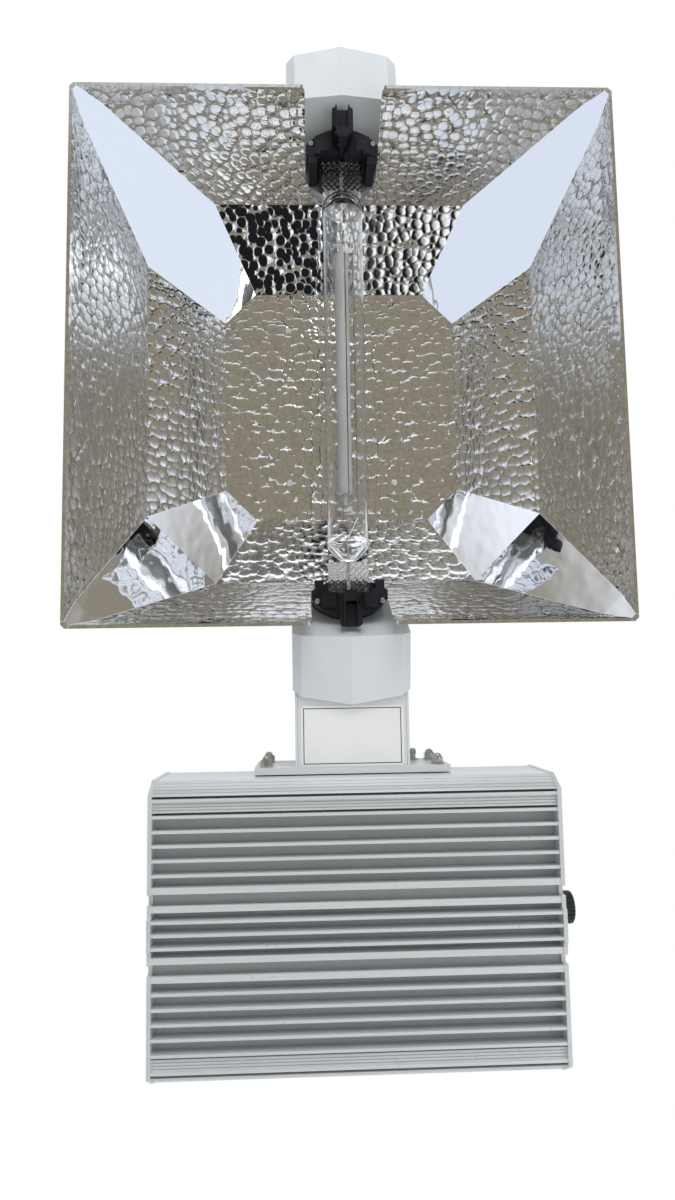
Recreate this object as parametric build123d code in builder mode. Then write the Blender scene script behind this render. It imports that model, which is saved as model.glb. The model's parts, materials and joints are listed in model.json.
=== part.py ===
from build123d import *
import math
import os

os.makedirs("parts", exist_ok=True)

# Grow lamp for a double-ended lamp. The origin is the centre of the reflector's mouth, in the
# plane of its rim. +Z is up as the fixture hangs, +Y runs along the lamp towards the ballast
# and +X is the side of the dimmer knob. All sizes are millimetres.

# ---- reflector ----
sheet = 0.8
sheet_gap = 0.2
mouth_x = 435.0
mouth_y = 434.0
rim_flange = 2.6
rim_corner = 3.0
lip_height = 14.0
lip_lean = 4.5
lip_corner = 15.0
fold_height = 97.3
fold_x = 343.4
fold_y = 344.7
fold_corner = 59.0
top_height = 143.0
top_x = 214.5
top_y = 217.6
top_corner = 28.4
notch_width = 62.5
notch_side_height = 74.0
notch_top_height = 95.4
notch_top_half = 20.0
notch_top_round = 6.0
notch_shoulder_round = 12.0
notch_rim_round = 4.0
strip_width = 59.0
strip_end_width = 34.0
strip_taper = 9.0
rivet_from_arm = 3.6
rivet_y = 147.2
rivet_shank = 1.6
rivet_head = 3.0
rivet_head_height = 1.2
hole_clearance = 0.15

# ---- arm ----
arm_width = 90.0
arm_wall = 2.0
rivet_x = arm_width + 2 * rivet_from_arm
liner_thickness = 1.5
fit_gap = 0.2
spine_bottom = top_height + sheet + 2.2
spine_height = 40.0
leg_slope = 0.463
leg_foot_y = 222.0
neck_bottom = 41.0
far_leg_bottom = 42.0
far_leg_outer_y = 258.0
shoulder_cut = 28.0
slope_start_y = 238.0
neck_end_y = 325.0
neck_end_top = 112.0
label_width = 81.0
label_length = 47.3
label_thickness = 0.4
label_round = 2.4

# ---- lampholder housings ----
housing_wall = 1.3
housing_top = 118.0
ridge_y = 224.5
ridge_height = 22.0
shoulder_half = 39.5
shoulder_rise = 4.0
bevel_rise = 8.0
underside_rise = 12.0
chevron_apex_y = 277.0
chevron_shoulder_y = 270.5
chevron_corner_y = 265.0

# ---- lamp ----
lamp_height = 58.0
tube_radius = 17.0
tube_wall = 1.5
tube_half = 146.0
pinch_start = 161.0
pinch_end = 187.0
pinch_width = 33.0
pinch_thickness = 5.0
pin_radius = 1.5
pin_end = 198.5
arc_radius = 6.0
arc_wall = 0.9
arc_half = 104.0
arc_shift = -1.5
frame_wire_radius = 0.7
frame_wire_x = 9.0

# ---- lampholders ----
holder_below_lamp = 16.0
holder_split_below_lamp = 6.0
holder_above_lamp = 30.0
holder_bottom = lamp_height - holder_below_lamp
holder_split = lamp_height - holder_split_below_lamp
holder_top = lamp_height + holder_above_lamp
holder_half = 30.5
holder_front = 176.0
holder_cover_front = 184.5
holder_side_start = 186.0
holder_side_end = 193.0
holder_back = 208.0
holder_front_half = 15.0
pocket_gap = 1.2
pivot_y = 196.5
hub_radius = 8.0
running_gap = 0.05
collar_radius = 9.0
pin_slot = 4.4
lever_below_lamp = 36.0
lever_thickness = 12.0
lever_bottom = lamp_height - lever_below_lamp
lever_top = lever_bottom + lever_thickness
lever_half = 8.75
lever_tip_y = 216.0
pointer_y = 187.6
pointer_half = 3.4
bracket_thickness = 2.0
bracket_tongue_half = 15.0
contact_width = 5.0
contact_thickness = 1.0

# ---- junction ----
flange_half = 77.0
flange_bottom = neck_bottom
flange_top = 110.0
flange_thickness = 5.5
flange_round = 8.0
bolt_x = 68.0
bolt_heights = (50.0, 98.0)
bolt_radius = 3.0
bolt_flats = 8.5
bolt_head_height = 4.5
washer_radius = 5.4
washer_thickness = 1.2
wire_hole_radius = 11.0
wire_hole_height = 78.0

# ---- ballast ----
ballast_length = 300.0
ballast_half_y = 108.0
ballast_gap = 1.0
ballast_height = 102.6
ballast_wall = 3.5
ballast_floor = 4.0
fin_depth = 12.0
fin_thickness = 2.2
fin_offsets = (41.4, 52.0, 62.4, 72.7, 83.4, 95.3)
middle_fin_offsets = (-9.2, 0.0, 9.2)
middle_fin_extra = 2.4
corner_run = 9.7
corner_rise = 17.8
slot_centre = 24.5
slot_opening = 8.3
slot_inside = 13.0
slot_block = 17.6
slot_lip = 2.6
slot_inner_depth = 6.0
land_outer = 94.2
land_width = 8.0
groove = 0.9
port_radius = 3.6
port_bore = 1.7
port_offset = (97.5, 29.5)
end_plate_thickness = 3.0
end_plate_margin = 0.8
knob_radius = 13.5
knob_depth = 19.0
knob_gap = 0.8
shaft_radius = 3.0
bushing_radius = 4.8

# ---- hangers ----
hanger_width = 25.0
hanger_thickness = 2.5
hanger_hole = 3.5
spine_hanger_y = -60.0
spine_hanger_holes = 112.0
ballast_hanger_holes = 270.0

# ---- values that follow from the sizes above ----
spine_top = spine_bottom + spine_height
leg_top_y = leg_foot_y - leg_slope * (spine_bottom - neck_bottom)
ballast_front_y = neck_end_y + flange_thickness + ballast_gap
ballast_y = ballast_front_y + ballast_half_y
ballast_bottom = 3.8
ballast_mid = ballast_bottom + ballast_height / 2
ballast_top = ballast_bottom + ballast_height
housing_half = arm_width / 2 + fit_gap + housing_wall
end_turns = {"near": 0, "far": 180}


# ======== reflector ========
def octagon(half_x, half_y, corner, height):
    """A rectangle with cut corners, flat at the given height."""
    with BuildSketch(Plane.XY.offset(height)) as outline:
        with BuildLine():
            Polyline(
                (half_x, corner - half_y),
                (half_x, half_y - corner),
                (half_x - corner, half_y),
                (corner - half_x, half_y),
                (-half_x, half_y - corner),
                (-half_x, corner - half_y),
                (corner - half_x, -half_y),
                (half_x - corner, -half_y),
                close=True,
            )
        make_face()
    return outline.sketch


# Reflecting surface from the rim upwards: half width, half length, corner cut, height.
reflector_levels = [
    (mouth_x / 2 - rim_flange, mouth_y / 2 - rim_flange, rim_corner, 0.0),
    (mouth_x / 2 - rim_flange - lip_lean, mouth_y / 2 - rim_flange - lip_lean, lip_corner, lip_height),
    (fold_x / 2, fold_y / 2, fold_corner, fold_height),
    (top_x / 2, top_y / 2, top_corner, top_height - sheet_gap),
]
# Horizontal growth that gives each level about one sheet thickness square to its slope.
skin_growth = (1.1 * sheet, 1.1 * sheet, 1.3 * sheet, 1.7 * sheet)
inner_levels = [octagon(*level) for level in reflector_levels]
outer_levels = [
    octagon(x + grow, y + grow, corner, height)
    for (x, y, corner, height), grow in zip(reflector_levels, skin_growth)
]
rim_ring = octagon(mouth_x / 2, mouth_y / 2, rim_corner, 0.0) - inner_levels[0]


def wall_corners(swap, sign):
    """Plan points down one side of a wall, from the top panel out past the rim."""
    points = []
    for x, y, corner, _ in reversed(reflector_levels):
        along, across = (y, x) if swap else (x, y)
        points.append((along, sign * (across - corner)))
    rim_along, rim_across = points[-1]
    points.append((rim_along + 2 * rim_flange, rim_across))
    return points


def wall_plan(turn):
    """Plan outline of the wall that faces the given direction, less the gap to its neighbours."""
    swap = turn % 180 == 90
    points = wall_corners(swap, 1) + wall_corners(swap, -1)[::-1]
    with BuildSketch(Plane.XY.rotated((0, 0, turn))) as plan:
        with BuildLine():
            Polyline(*points, close=True)
        make_face()
        offset(amount=-sheet_gap / 2, kind=Kind.INTERSECTION)
    return plan.sketch


def corner_plan(sign_x, sign_y):
    """Plan outline of a corner mirror, less the gap to its neighbours."""
    side = [(x, y - corner) for x, y, corner, _ in reversed(reflector_levels)]
    end = [(x - corner, y) for x, y, corner, _ in reflector_levels]
    reach = 2 * rim_flange
    outside = [
        (side[-1][0] + reach, side[-1][1]),
        (side[-1][0] + reach, end[0][1] + reach),
        (end[0][0], end[0][1] + reach),
    ]
    points = [(sign_x * x, sign_y * y) for x, y in side + outside + end]
    with BuildSketch() as plan:
        with BuildLine():
            Polyline(*points, close=True)
        make_face()
        offset(amount=-sheet_gap / 2, kind=Kind.INTERSECTION)
    return plan.sketch


def notch_profile():
    """Front view of the cut-out that a lampholder passes through, with rounded rim corners."""
    with BuildSketch(Plane.XZ) as notch:
        with BuildLine():
            Polyline(
                (-notch_width / 2, 0),
                (-notch_width / 2, notch_side_height),
                (-notch_top_half, notch_top_height),
                (notch_top_half, notch_top_height),
                (notch_width / 2, notch_side_height),
                (notch_width / 2, 0),
                close=True,
            )
        make_face()
        fillet(notch.vertices().group_by(Axis.Y)[-1], notch_top_round)
        shoulders = notch.vertices().filter_by_position(Axis.Y, notch_side_height - 1, notch_side_height + 1)
        fillet(shoulders, notch_shoulder_round)
        with Locations((0, -sheet)):
            Rectangle(2 * notch_width, 2 * sheet)
        rim_corners = notch.vertices().filter_by_position(Axis.Y, -0.01, 0.01)
        fillet(rim_corners.sort_by(Axis.X)[1:-1], notch_rim_round)
    return notch.sketch


def skin_piece(plan):
    """The part of the reflector's skin and rim flange that stands over a plan outline."""
    with BuildPart() as piece:
        loft(sections=outer_levels, ruled=True)
        loft(sections=inner_levels, ruled=True, mode=Mode.SUBTRACT)
        extrude(rim_ring, amount=sheet)
        extrude(plan, amount=top_height, mode=Mode.INTERSECT)
    return piece.part


wall_turns = {"right": 0, "near": 90, "left": 180, "far": 270}
for wall_name, turn in wall_turns.items():
    with BuildPart() as wall:
        add(skin_piece(wall_plan(turn)))
        if wall_name in end_turns:
            extrude(notch_profile(), amount=mouth_y, both=True, mode=Mode.SUBTRACT)
    wall.part.label = f"reflector_{wall_name}_wall"
    export_step(wall.part, f"parts/reflector_{wall_name}_wall.step")

mirror_corners = {
    "near_right": (1, 1),
    "near_left": (-1, 1),
    "far_left": (-1, -1),
    "far_right": (1, -1),
}
for corner_name, (sign_x, sign_y) in mirror_corners.items():
    with BuildPart() as mirror_sheet:
        add(skin_piece(corner_plan(sign_x, sign_y)))
    mirror_sheet.part.label = f"corner_mirror_{corner_name}"
    export_step(mirror_sheet.part, f"parts/corner_mirror_{corner_name}.step")

panel_margin = skin_growth[-1]
with BuildPart() as reflector_top_panel:
    panel_plan = octagon(top_x / 2 + panel_margin, top_y / 2 + panel_margin, top_corner, top_height)
    extrude(panel_plan, amount=sheet)
    with Locations((0, 0, top_height)):
        with GridLocations(rivet_x, rivet_y, 2, 2):
            Cylinder(rivet_shank + hole_clearance, 4 * sheet, mode=Mode.SUBTRACT)
reflector_top_panel.part.label = "reflector_top_panel"
export_step(reflector_top_panel.part, "parts/reflector_top_panel.step")

strip_half_length = top_y / 2 - 2 * sheet
with BuildPart() as centre_strip:
    with BuildSketch(Plane.XY.offset(top_height - sheet_gap - sheet)) as strip_plan:
        with BuildLine():
            Polyline(
                (strip_width / 2, strip_taper - strip_half_length),
                (strip_width / 2, strip_half_length - strip_taper),
                (strip_end_width / 2, strip_half_length),
                (-strip_end_width / 2, strip_half_length),
                (-strip_width / 2, strip_half_length - strip_taper),
                (-strip_width / 2, strip_taper - strip_half_length),
                (-strip_end_width / 2, -strip_half_length),
                (strip_end_width / 2, -strip_half_length),
                close=True,
            )
        make_face()
    extrude(amount=sheet)
centre_strip.part.label = "reflector_centre_strip"
export_step(centre_strip.part, "parts/reflector_centre_strip.step")

# Clip rails riveted to the top panel, one each side of the spine.
rail_base = 13.0
rail_thickness = 1.2
rail_length = rivet_y + 34.0
rail_height = 21.0
rail_bottom = top_height + sheet + 0.1
rail_inner_x = arm_width / 2 + 0.3
thumb_y = rivet_y - 30.0
thumb_height = rail_bottom + 12.0
thumb_shank = 2.4
for side_name, sign in {"left": -1, "right": 1}.items():
    with BuildPart() as rail:
        with BuildSketch(Plane.XZ.offset(-rail_length / 2)) as rail_section:
            with BuildLine():
                Polyline(
                    (sign * rail_inner_x, rail_bottom),
                    (sign * (rail_inner_x + rail_base), rail_bottom),
                    (sign * (rail_inner_x + rail_base), rail_bottom + rail_thickness),
                    (sign * (rail_inner_x + rail_thickness), rail_bottom + rail_thickness),
                    (sign * (rail_inner_x + rail_thickness), rail_bottom + rail_height),
                    (sign * rail_inner_x, rail_bottom + rail_height),
                    close=True,
                )
            make_face()
        extrude(amount=rail_length)
        with Locations((sign * rivet_x / 2, 0, rail_bottom)):
            with GridLocations(0, rivet_y, 1, 2):
                Cylinder(rivet_shank + hole_clearance, 4 * rail_thickness, mode=Mode.SUBTRACT)
        with Locations(Location((sign * rail_inner_x, 0, thumb_height), (0, 90, 0))):
            with GridLocations(0, thumb_y, 1, 2):
                Cylinder(thumb_shank + hole_clearance, 4 * rail_thickness, mode=Mode.SUBTRACT)
    rail.part.label = f"reflector_rail_{side_name}"
    export_step(rail.part, f"parts/reflector_rail_{side_name}.step")

rivet_tail = 2.0
rivet_tail_height = 1.0
rivet_grip = rail_bottom + rail_thickness - top_height
with BuildPart() as reflector_rivets:
    with Locations((0, 0, top_height)):
        with GridLocations(rivet_x, rivet_y, 2, 2):
            Cylinder(rivet_head, rivet_head_height, align=(Align.CENTER, Align.CENTER, Align.MAX))
            Cylinder(rivet_shank, rivet_grip, align=(Align.CENTER, Align.CENTER, Align.MIN))
    with Locations((0, 0, top_height + rivet_grip)):
        with GridLocations(rivet_x, rivet_y, 2, 2):
            Cylinder(rivet_tail, rivet_tail_height, align=(Align.CENTER, Align.CENTER, Align.MIN))
    fillet(reflector_rivets.faces().filter_by_position(Axis.Z, top_height - 2, top_height - 1).edges(), 0.8)
reflector_rivets.part.label = "reflector_rivets"
export_step(reflector_rivets.part, "parts/reflector_rivets.step")

thumb_head = 6.0
thumb_head_height = 7.0
thumb_reach = 6.0
with BuildPart() as reflector_thumb_screws:
    for sign in (-1, 1):
        head_face = sign * (rail_inner_x + rail_thickness)
        with Locations(Location((head_face, 0, thumb_height), (0, sign * 90, 0))):
            with GridLocations(0, thumb_y, 1, 2):
                Cylinder(thumb_head, thumb_head_height, align=(Align.CENTER, Align.CENTER, Align.MIN))
                Cylinder(thumb_shank, thumb_reach, align=(Align.CENTER, Align.CENTER, Align.MAX))
reflector_thumb_screws.part.label = "reflector_thumb_screws"
export_step(reflector_thumb_screws.part, "parts/reflector_thumb_screws.step")


# ======== arm ========
window_clearance = 0.6


def holder_plan(height, clearance):
    """Plan outline of a lampholder: rounded at the back, straight sides, cut front corners."""
    half = holder_half
    with BuildSketch(Plane.XY.offset(height)) as plan:
        with BuildLine():
            ThreePointArc((half, holder_side_end), (0, holder_back), (-half, holder_side_end))
            Polyline(
                (-half, holder_side_end),
                (-half, holder_side_start),
                (-holder_front_half, holder_front),
                (holder_front_half, holder_front),
                (half, holder_side_start),
                (half, holder_side_end),
            )
        make_face()
        if clearance:
            offset(amount=clearance, kind=Kind.INTERSECTION)
    return plan.sketch


def slot_box(half_x, y_from, y_to, z_from, z_to, **options):
    """A box given by its half width and its ends along Y and Z."""
    with Locations((0, (y_from + y_to) / 2, (z_from + z_to) / 2)):
        Box(2 * half_x, y_to - y_from, z_to - z_from, **options)


def across(points, width, **options):
    """A side view outline in Y and Z, as thick as width across the arm."""
    with BuildSketch(Plane.YZ) as side_view:
        with BuildLine():
            Polyline(*points, close=True)
        make_face()
    extrude(side_view.sketch, amount=width / 2, both=True, **options)


arm_outline = [
    (-far_leg_outer_y, far_leg_bottom),
    (-far_leg_outer_y, spine_top - shoulder_cut),
    (-far_leg_outer_y + shoulder_cut, spine_top),
    (slope_start_y, spine_top),
    (neck_end_y, neck_end_top),
    (neck_end_y, neck_bottom),
    (leg_foot_y, neck_bottom),
    (leg_top_y, spine_bottom),
    (-leg_top_y, spine_bottom),
    (-leg_foot_y + leg_slope * (far_leg_bottom - neck_bottom), far_leg_bottom),
]
corner_step = arm_wall * math.tan(math.radians(22.5))
slope_angle = math.atan2(spine_top - neck_end_top, neck_end_y - slope_start_y)
slope_step = arm_wall * math.tan(slope_angle / 2)
slope_drop = math.tan(slope_angle)
cavity_end = neck_end_y + 10
arm_cavity = [
    (arm_wall - far_leg_outer_y, 0),
    (arm_wall - far_leg_outer_y, spine_top - shoulder_cut - corner_step),
    (shoulder_cut - far_leg_outer_y + corner_step, spine_top - arm_wall),
    (slope_start_y - slope_step, spine_top - arm_wall),
    (cavity_end, spine_top - arm_wall - slope_drop * (cavity_end - slope_start_y + slope_step)),
    (cavity_end, 0),
]
bracket_screw_y = 232.0
bracket_screw_height = holder_top + 8.0
bracket_screw_shank = 2.0
arm_side = arm_width / 2
with BuildPart() as arm_shell:
    across(arm_outline, arm_width)
    across(arm_cavity, arm_width - 2 * arm_wall, mode=Mode.SUBTRACT)
    with Locations(Location((0, 0, thumb_height), (0, 90, 0))):
        with GridLocations(0, thumb_y, 1, 2):
            Cylinder(thumb_shank + hole_clearance, 2 * arm_width, mode=Mode.SUBTRACT)
    with Locations(Location((0, 0, bracket_screw_height), (0, 90, 0))):
        with GridLocations(0, 2 * bracket_screw_y, 1, 2):
            Cylinder(bracket_screw_shank + hole_clearance, 2 * arm_width, mode=Mode.SUBTRACT)
    with Locations((0, spine_hanger_y, spine_top)):
        with GridLocations(spine_hanger_holes / 2, 0, 2, 1):
            Cylinder(bolt_radius + hole_clearance, 4 * arm_wall, mode=Mode.SUBTRACT)
arm_shell.part.label = "arm_shell"
export_step(arm_shell.part, "parts/arm_shell.step")

inset_width = arm_width - 2 * arm_wall - 2 * fit_gap
leg_normal = math.hypot(1, leg_slope)
liner_step = liner_thickness * leg_normal
liner_corner = liner_thickness * math.tan(math.atan(1 / leg_slope) / 2)
far_foot_y = leg_foot_y - leg_slope * (far_leg_bottom - neck_bottom)
liner_outline = [
    (-far_foot_y, far_leg_bottom),
    (-leg_top_y, spine_bottom),
    (leg_top_y, spine_bottom),
    (leg_foot_y - leg_slope * (far_leg_bottom - neck_bottom), far_leg_bottom),
    (leg_foot_y - leg_slope * (far_leg_bottom - neck_bottom) + liner_step, far_leg_bottom),
    (leg_top_y + liner_corner, spine_bottom + liner_thickness),
    (-leg_top_y - liner_corner, spine_bottom + liner_thickness),
    (-far_foot_y - liner_step, far_leg_bottom),
]
bracket_bottom = holder_top + fit_gap
with BuildPart() as arm_liner:
    across(liner_outline, inset_width)
    with Locations((0, 0, bracket_bottom + bracket_thickness)):
        Box(2 * bracket_tongue_half + 4, 2 * leg_foot_y + 40, 14, mode=Mode.SUBTRACT)
    for turn in end_turns.values():
        with BuildSketch(Plane.XY.offset(holder_bottom - 2)) as window:
            add(holder_plan(0, window_clearance), rotation=turn)
        extrude(window.sketch, amount=holder_top - holder_bottom + 2.6, mode=Mode.SUBTRACT)
arm_liner.part.label = "arm_liner"
export_step(arm_liner.part, "parts/arm_liner.step")

with BuildPart() as neck_cover:
    cover_length = neck_end_y - leg_foot_y - liner_step - fit_gap
    with Locations((0, neck_end_y - cover_length / 2, neck_bottom + arm_wall / 2)):
        Box(inset_width, cover_length, arm_wall)
neck_cover.part.label = "neck_cover"
export_step(neck_cover.part, "parts/neck_cover.step")

with BuildPart() as label_plate:
    with BuildSketch(Plane.XY.offset(neck_bottom)):
        with Locations((0, neck_end_y - fit_gap - label_length / 2)):
            RectangleRounded(label_width, label_length, label_round)
    extrude(amount=-label_thickness)
label_plate.part.label = "blank_label"
export_step(label_plate.part, "parts/blank_label.step")


# ======== lampholder housings ========
def housing_section(y, inset):
    """Front view of the keeled underside and the straight sides at one place along Y."""
    rise = ridge_height + inset + underside_rise * (y - ridge_y) / (chevron_apex_y - ridge_y)
    half = housing_half - inset
    bevel_inset = inset * (1 - math.tan(math.radians(22.5)))
    with BuildSketch(Plane.XZ.offset(-y)) as section:
        with BuildLine():
            Polyline(
                (0, rise),
                (shoulder_half - bevel_inset, rise + shoulder_rise),
                (half, rise + bevel_rise),
                (half, housing_top),
                (-half, housing_top),
                (-half, rise + bevel_rise),
                (bevel_inset - shoulder_half, rise + shoulder_rise),
                close=True,
            )
        make_face()
    return section.sketch


def housing_form(inset, end_inset):
    """The housing's outside, or its hollow when inset by the wall."""
    front_step = inset * leg_normal
    front_top_y = ridge_y - leg_slope * (housing_top - ridge_height)
    with BuildPart() as form:
        loft(sections=[housing_section(front_top_y - 5, inset), housing_section(chevron_apex_y + 15, inset)])
        across(
            [
                (ridge_y + front_step + 0.5 * leg_slope, ridge_height - 0.5),
                (ridge_y + front_step + 10 * leg_slope, ridge_height - 10),
                (chevron_apex_y + 15, ridge_height - 10),
                (chevron_apex_y + 15, housing_top),
                (front_top_y + front_step, housing_top),
            ],
            2 * arm_width,
            mode=Mode.INTERSECT,
        )
        with BuildSketch() as plan:
            with BuildLine():
                Polyline(
                    (-arm_width, 0),
                    (arm_width, 0),
                    (arm_width, chevron_corner_y - arm_width / 2 - end_inset),
                    (housing_half, chevron_corner_y - end_inset),
                    (shoulder_half, chevron_shoulder_y - end_inset),
                    (0, chevron_apex_y - end_inset),
                    (-shoulder_half, chevron_shoulder_y - end_inset),
                    (-housing_half, chevron_corner_y - end_inset),
                    (-arm_width, chevron_corner_y - arm_width / 2 - end_inset),
                    close=True,
                )
            make_face()
        extrude(plan.sketch, amount=2 * housing_top, mode=Mode.INTERSECT)
    return form.part


for end_name, turn in end_turns.items():
    with BuildPart() as shape:
        add(housing_form(0, 0))
        add(housing_form(housing_wall, housing_wall), mode=Mode.SUBTRACT)
        if end_name == "near":
            slot_box(
                arm_side + fit_gap,
                chevron_corner_y - 20,
                chevron_apex_y + 1,
                neck_bottom - label_thickness - fit_gap,
                housing_top + 1,
                mode=Mode.SUBTRACT,
            )
        extrude(
            holder_plan(lever_bottom + 6, window_clearance),
            amount=bracket_bottom + bracket_thickness + window_clearance - lever_bottom - 6,
            mode=Mode.SUBTRACT,
        )
        with Locations(Location((0, bracket_screw_y, bracket_screw_height), (0, 90, 0))):
            Cylinder(4.5, 2 * arm_width, mode=Mode.SUBTRACT)
    with BuildPart() as housing:
        add(shape.part, rotation=(0, 0, turn))
    housing.part.label = f"{end_name}_housing"
    export_step(housing.part, f"parts/{end_name}_housing.step")


# ======== lampholders, as they stand at the near end ========
pocket_half = pinch_width / 2 + pocket_gap
pocket_top = lamp_height + pinch_thickness / 2 + pocket_gap
pocket_back = pinch_end + 0.6
slot_back = pin_end + 1.2
tab_y = pin_end + 4.0
tab_top = holder_top + 8.0
contact_bottom = lamp_height + pin_radius + 0.2
ear_screw_x = 26.0
ear_screw_y = 194.5
ear_screw_shank = 1.5
ear_screw_reach = 28.0
bracket_mount_y = 183.5
bracket_mount_x = 20.0
mount_screw_depth = 8.0


def holder_openings():
    """The space for the pinch seal and for the pin behind it."""
    slot_box(pocket_half, holder_front - 5, pocket_back, holder_bottom - 5, pocket_top, mode=Mode.SUBTRACT)
    pin_top = lamp_height + pin_radius + 2.2
    slot_box(pin_slot / 2, pocket_back - 1, slot_back, holder_bottom - 5, pin_top, mode=Mode.SUBTRACT)


def ear_screw_holes():
    """Clearance holes for the two ear screws."""
    with Locations((0, ear_screw_y, holder_bottom)):
        with GridLocations(2 * ear_screw_x, 0, 2, 1):
            Cylinder(ear_screw_shank + hole_clearance, 60, mode=Mode.SUBTRACT)


rib_inner = 21.0
rib_outer = 28.0
rib_front = 177.5
rib_back = 188.0
rib_above_lamp = 19.0
rib_top = lamp_height + rib_above_lamp
block_inner = 11.5
block_outer = 23.0
block_front = 184.5
block_back = 200.0
block_rise = 2.5
guide_rise = 1.5


def front_ribs(height_from, height_to):
    """The two upright ribs on the holder's front, beside the pinch seal."""
    rib_middle = ((rib_front + rib_back) / 2, (height_from + height_to) / 2)
    for sign in (-1, 1):
        with Locations((sign * (rib_inner + rib_outer) / 2, *rib_middle)):
            Box(rib_outer - rib_inner, rib_back - rib_front, height_to - height_from)


def holder_base_form():
    """The upper moulding, which holds the contact."""
    with BuildPart() as form:
        extrude(holder_plan(holder_split, 0), amount=holder_top - holder_split)
        front_ribs(holder_split, rib_top)
        holder_openings()
        with Locations((0, pivot_y, holder_split)):
            Cylinder(
                collar_radius + 0.3,
                2.4,
                align=(Align.CENTER, Align.CENTER, Align.MIN),
                mode=Mode.SUBTRACT,
            )
        slot_box(
            contact_width / 2 + fit_gap,
            tab_y - contact_thickness - fit_gap,
            tab_y + fit_gap,
            contact_bottom - 1,
            holder_top + 1,
            mode=Mode.SUBTRACT,
        )
        slot_box(
            contact_width / 2 + fit_gap,
            pocket_back,
            tab_y,
            contact_bottom - fit_gap,
            contact_bottom + contact_thickness + fit_gap,
            mode=Mode.SUBTRACT,
        )
        ear_screw_holes()
        with Locations((0, bracket_mount_y, holder_top)):
            with GridLocations(bracket_mount_x, 0, 2, 1):
                Cylinder(ear_screw_shank + hole_clearance, 2 * mount_screw_depth, mode=Mode.SUBTRACT)
    return form.part


def holder_cover_form():
    """The lower moulding, with the two raised blocks beside the lever and its slanted guides."""
    with BuildPart() as form:
        extrude(holder_plan(holder_bottom, 0), amount=holder_split - holder_bottom - 0.1)
        slot_box(
            holder_half + 1,
            holder_cover_front,
            holder_back + 1,
            holder_bottom,
            holder_split,
            mode=Mode.INTERSECT,
        )
        front_ribs(holder_bottom + 0.6, holder_split - 0.1)
        block_middle = ((block_front + block_back) / 2, holder_bottom)
        for sign in (-1, 1):
            with Locations((sign * (block_inner + block_outer) / 2, *block_middle)):
                Box(block_outer - block_inner, block_back - block_front, 2 * block_rise)
            with BuildSketch(Plane.XY.offset(holder_bottom - guide_rise)) as guide:
                with BuildLine():
                    Polyline(
                        (sign * pointer_half * 1.3, holder_cover_front),
                        (sign * (block_inner + 2), holder_cover_front),
                        (sign * lever_half * 0.8, holder_cover_front + 9),
                        (sign * pointer_half * 1.3, holder_cover_front + 9),
                        close=True,
                    )
                make_face()
            extrude(guide.sketch, amount=guide_rise)
        with Locations((0, pivot_y, holder_bottom)):
            Cylinder(hub_radius + running_gap, 60, mode=Mode.SUBTRACT)
        holder_openings()
        ear_screw_holes()
    return form.part


lever_step = 3.0
ridge_outer = 6.0
ridge_inner = 4.6
lever_groove = 7.0
lever_round = 3.0
slot_past_pivot = 3.0
hub_top = holder_split + 0.1


def lever_form():
    """The quarter-turn lever: hub and collar, finger grip with a groove, and pointer."""
    with BuildPart() as form:
        with BuildSketch(Plane.XY.offset(lever_bottom)) as grip:
            with BuildLine():
                Polyline(
                    (lever_half, lever_tip_y),
                    (lever_half, pivot_y - 1),
                    (pointer_half, pointer_y),
                    (-pointer_half, pointer_y),
                    (-lever_half, pivot_y - 1),
                    (-lever_half, lever_tip_y),
                    close=True,
                )
            make_face()
            fillet(grip.vertices().group_by(Axis.Y)[-1], lever_round)
        extrude(grip.sketch, amount=lever_top - lever_bottom)
        grip_middle = ((pivot_y + lever_tip_y) / 2, lever_bottom)
        for sign in (-1, 1):
            with Locations((sign * (ridge_outer + lever_half) / 2, *grip_middle)):
                Box(lever_half - ridge_outer, 60, 2 * lever_step, mode=Mode.SUBTRACT)
        with Locations((0, (pivot_y + lever_tip_y) / 2 + 6, lever_bottom)):
            Box(2 * ridge_inner, lever_tip_y - pivot_y + 12, 2 * lever_groove, mode=Mode.SUBTRACT)
        with Locations((0, pivot_y, lever_top)):
            Cylinder(hub_radius, hub_top - lever_top, align=(Align.CENTER, Align.CENTER, Align.MIN))
        with Locations((0, pivot_y, hub_top)):
            Cylinder(collar_radius, 1.8, align=(Align.CENTER, Align.CENTER, Align.MIN))
        with Locations((collar_radius - slot_past_pivot, pivot_y, (lever_bottom + holder_top) / 2)):
            Box(2 * collar_radius, pin_slot, 60, mode=Mode.SUBTRACT)
    return form.part


def contact_form():
    """The contact blade over the pin, with its tab up through the base."""
    with BuildPart() as form:
        slot_box(
            contact_width / 2,
            pocket_back + 1,
            tab_y,
            contact_bottom,
            contact_bottom + contact_thickness,
        )
        slot_box(contact_width / 2, tab_y - contact_thickness, tab_y, contact_bottom, tab_top)
    return form.part


bracket_step_y = 212.0
bracket_back_y = 247.0
bracket_front_y = 178.0
bracket_tab_height = 14.0
bracket_half = arm_side - arm_wall - fit_gap


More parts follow.
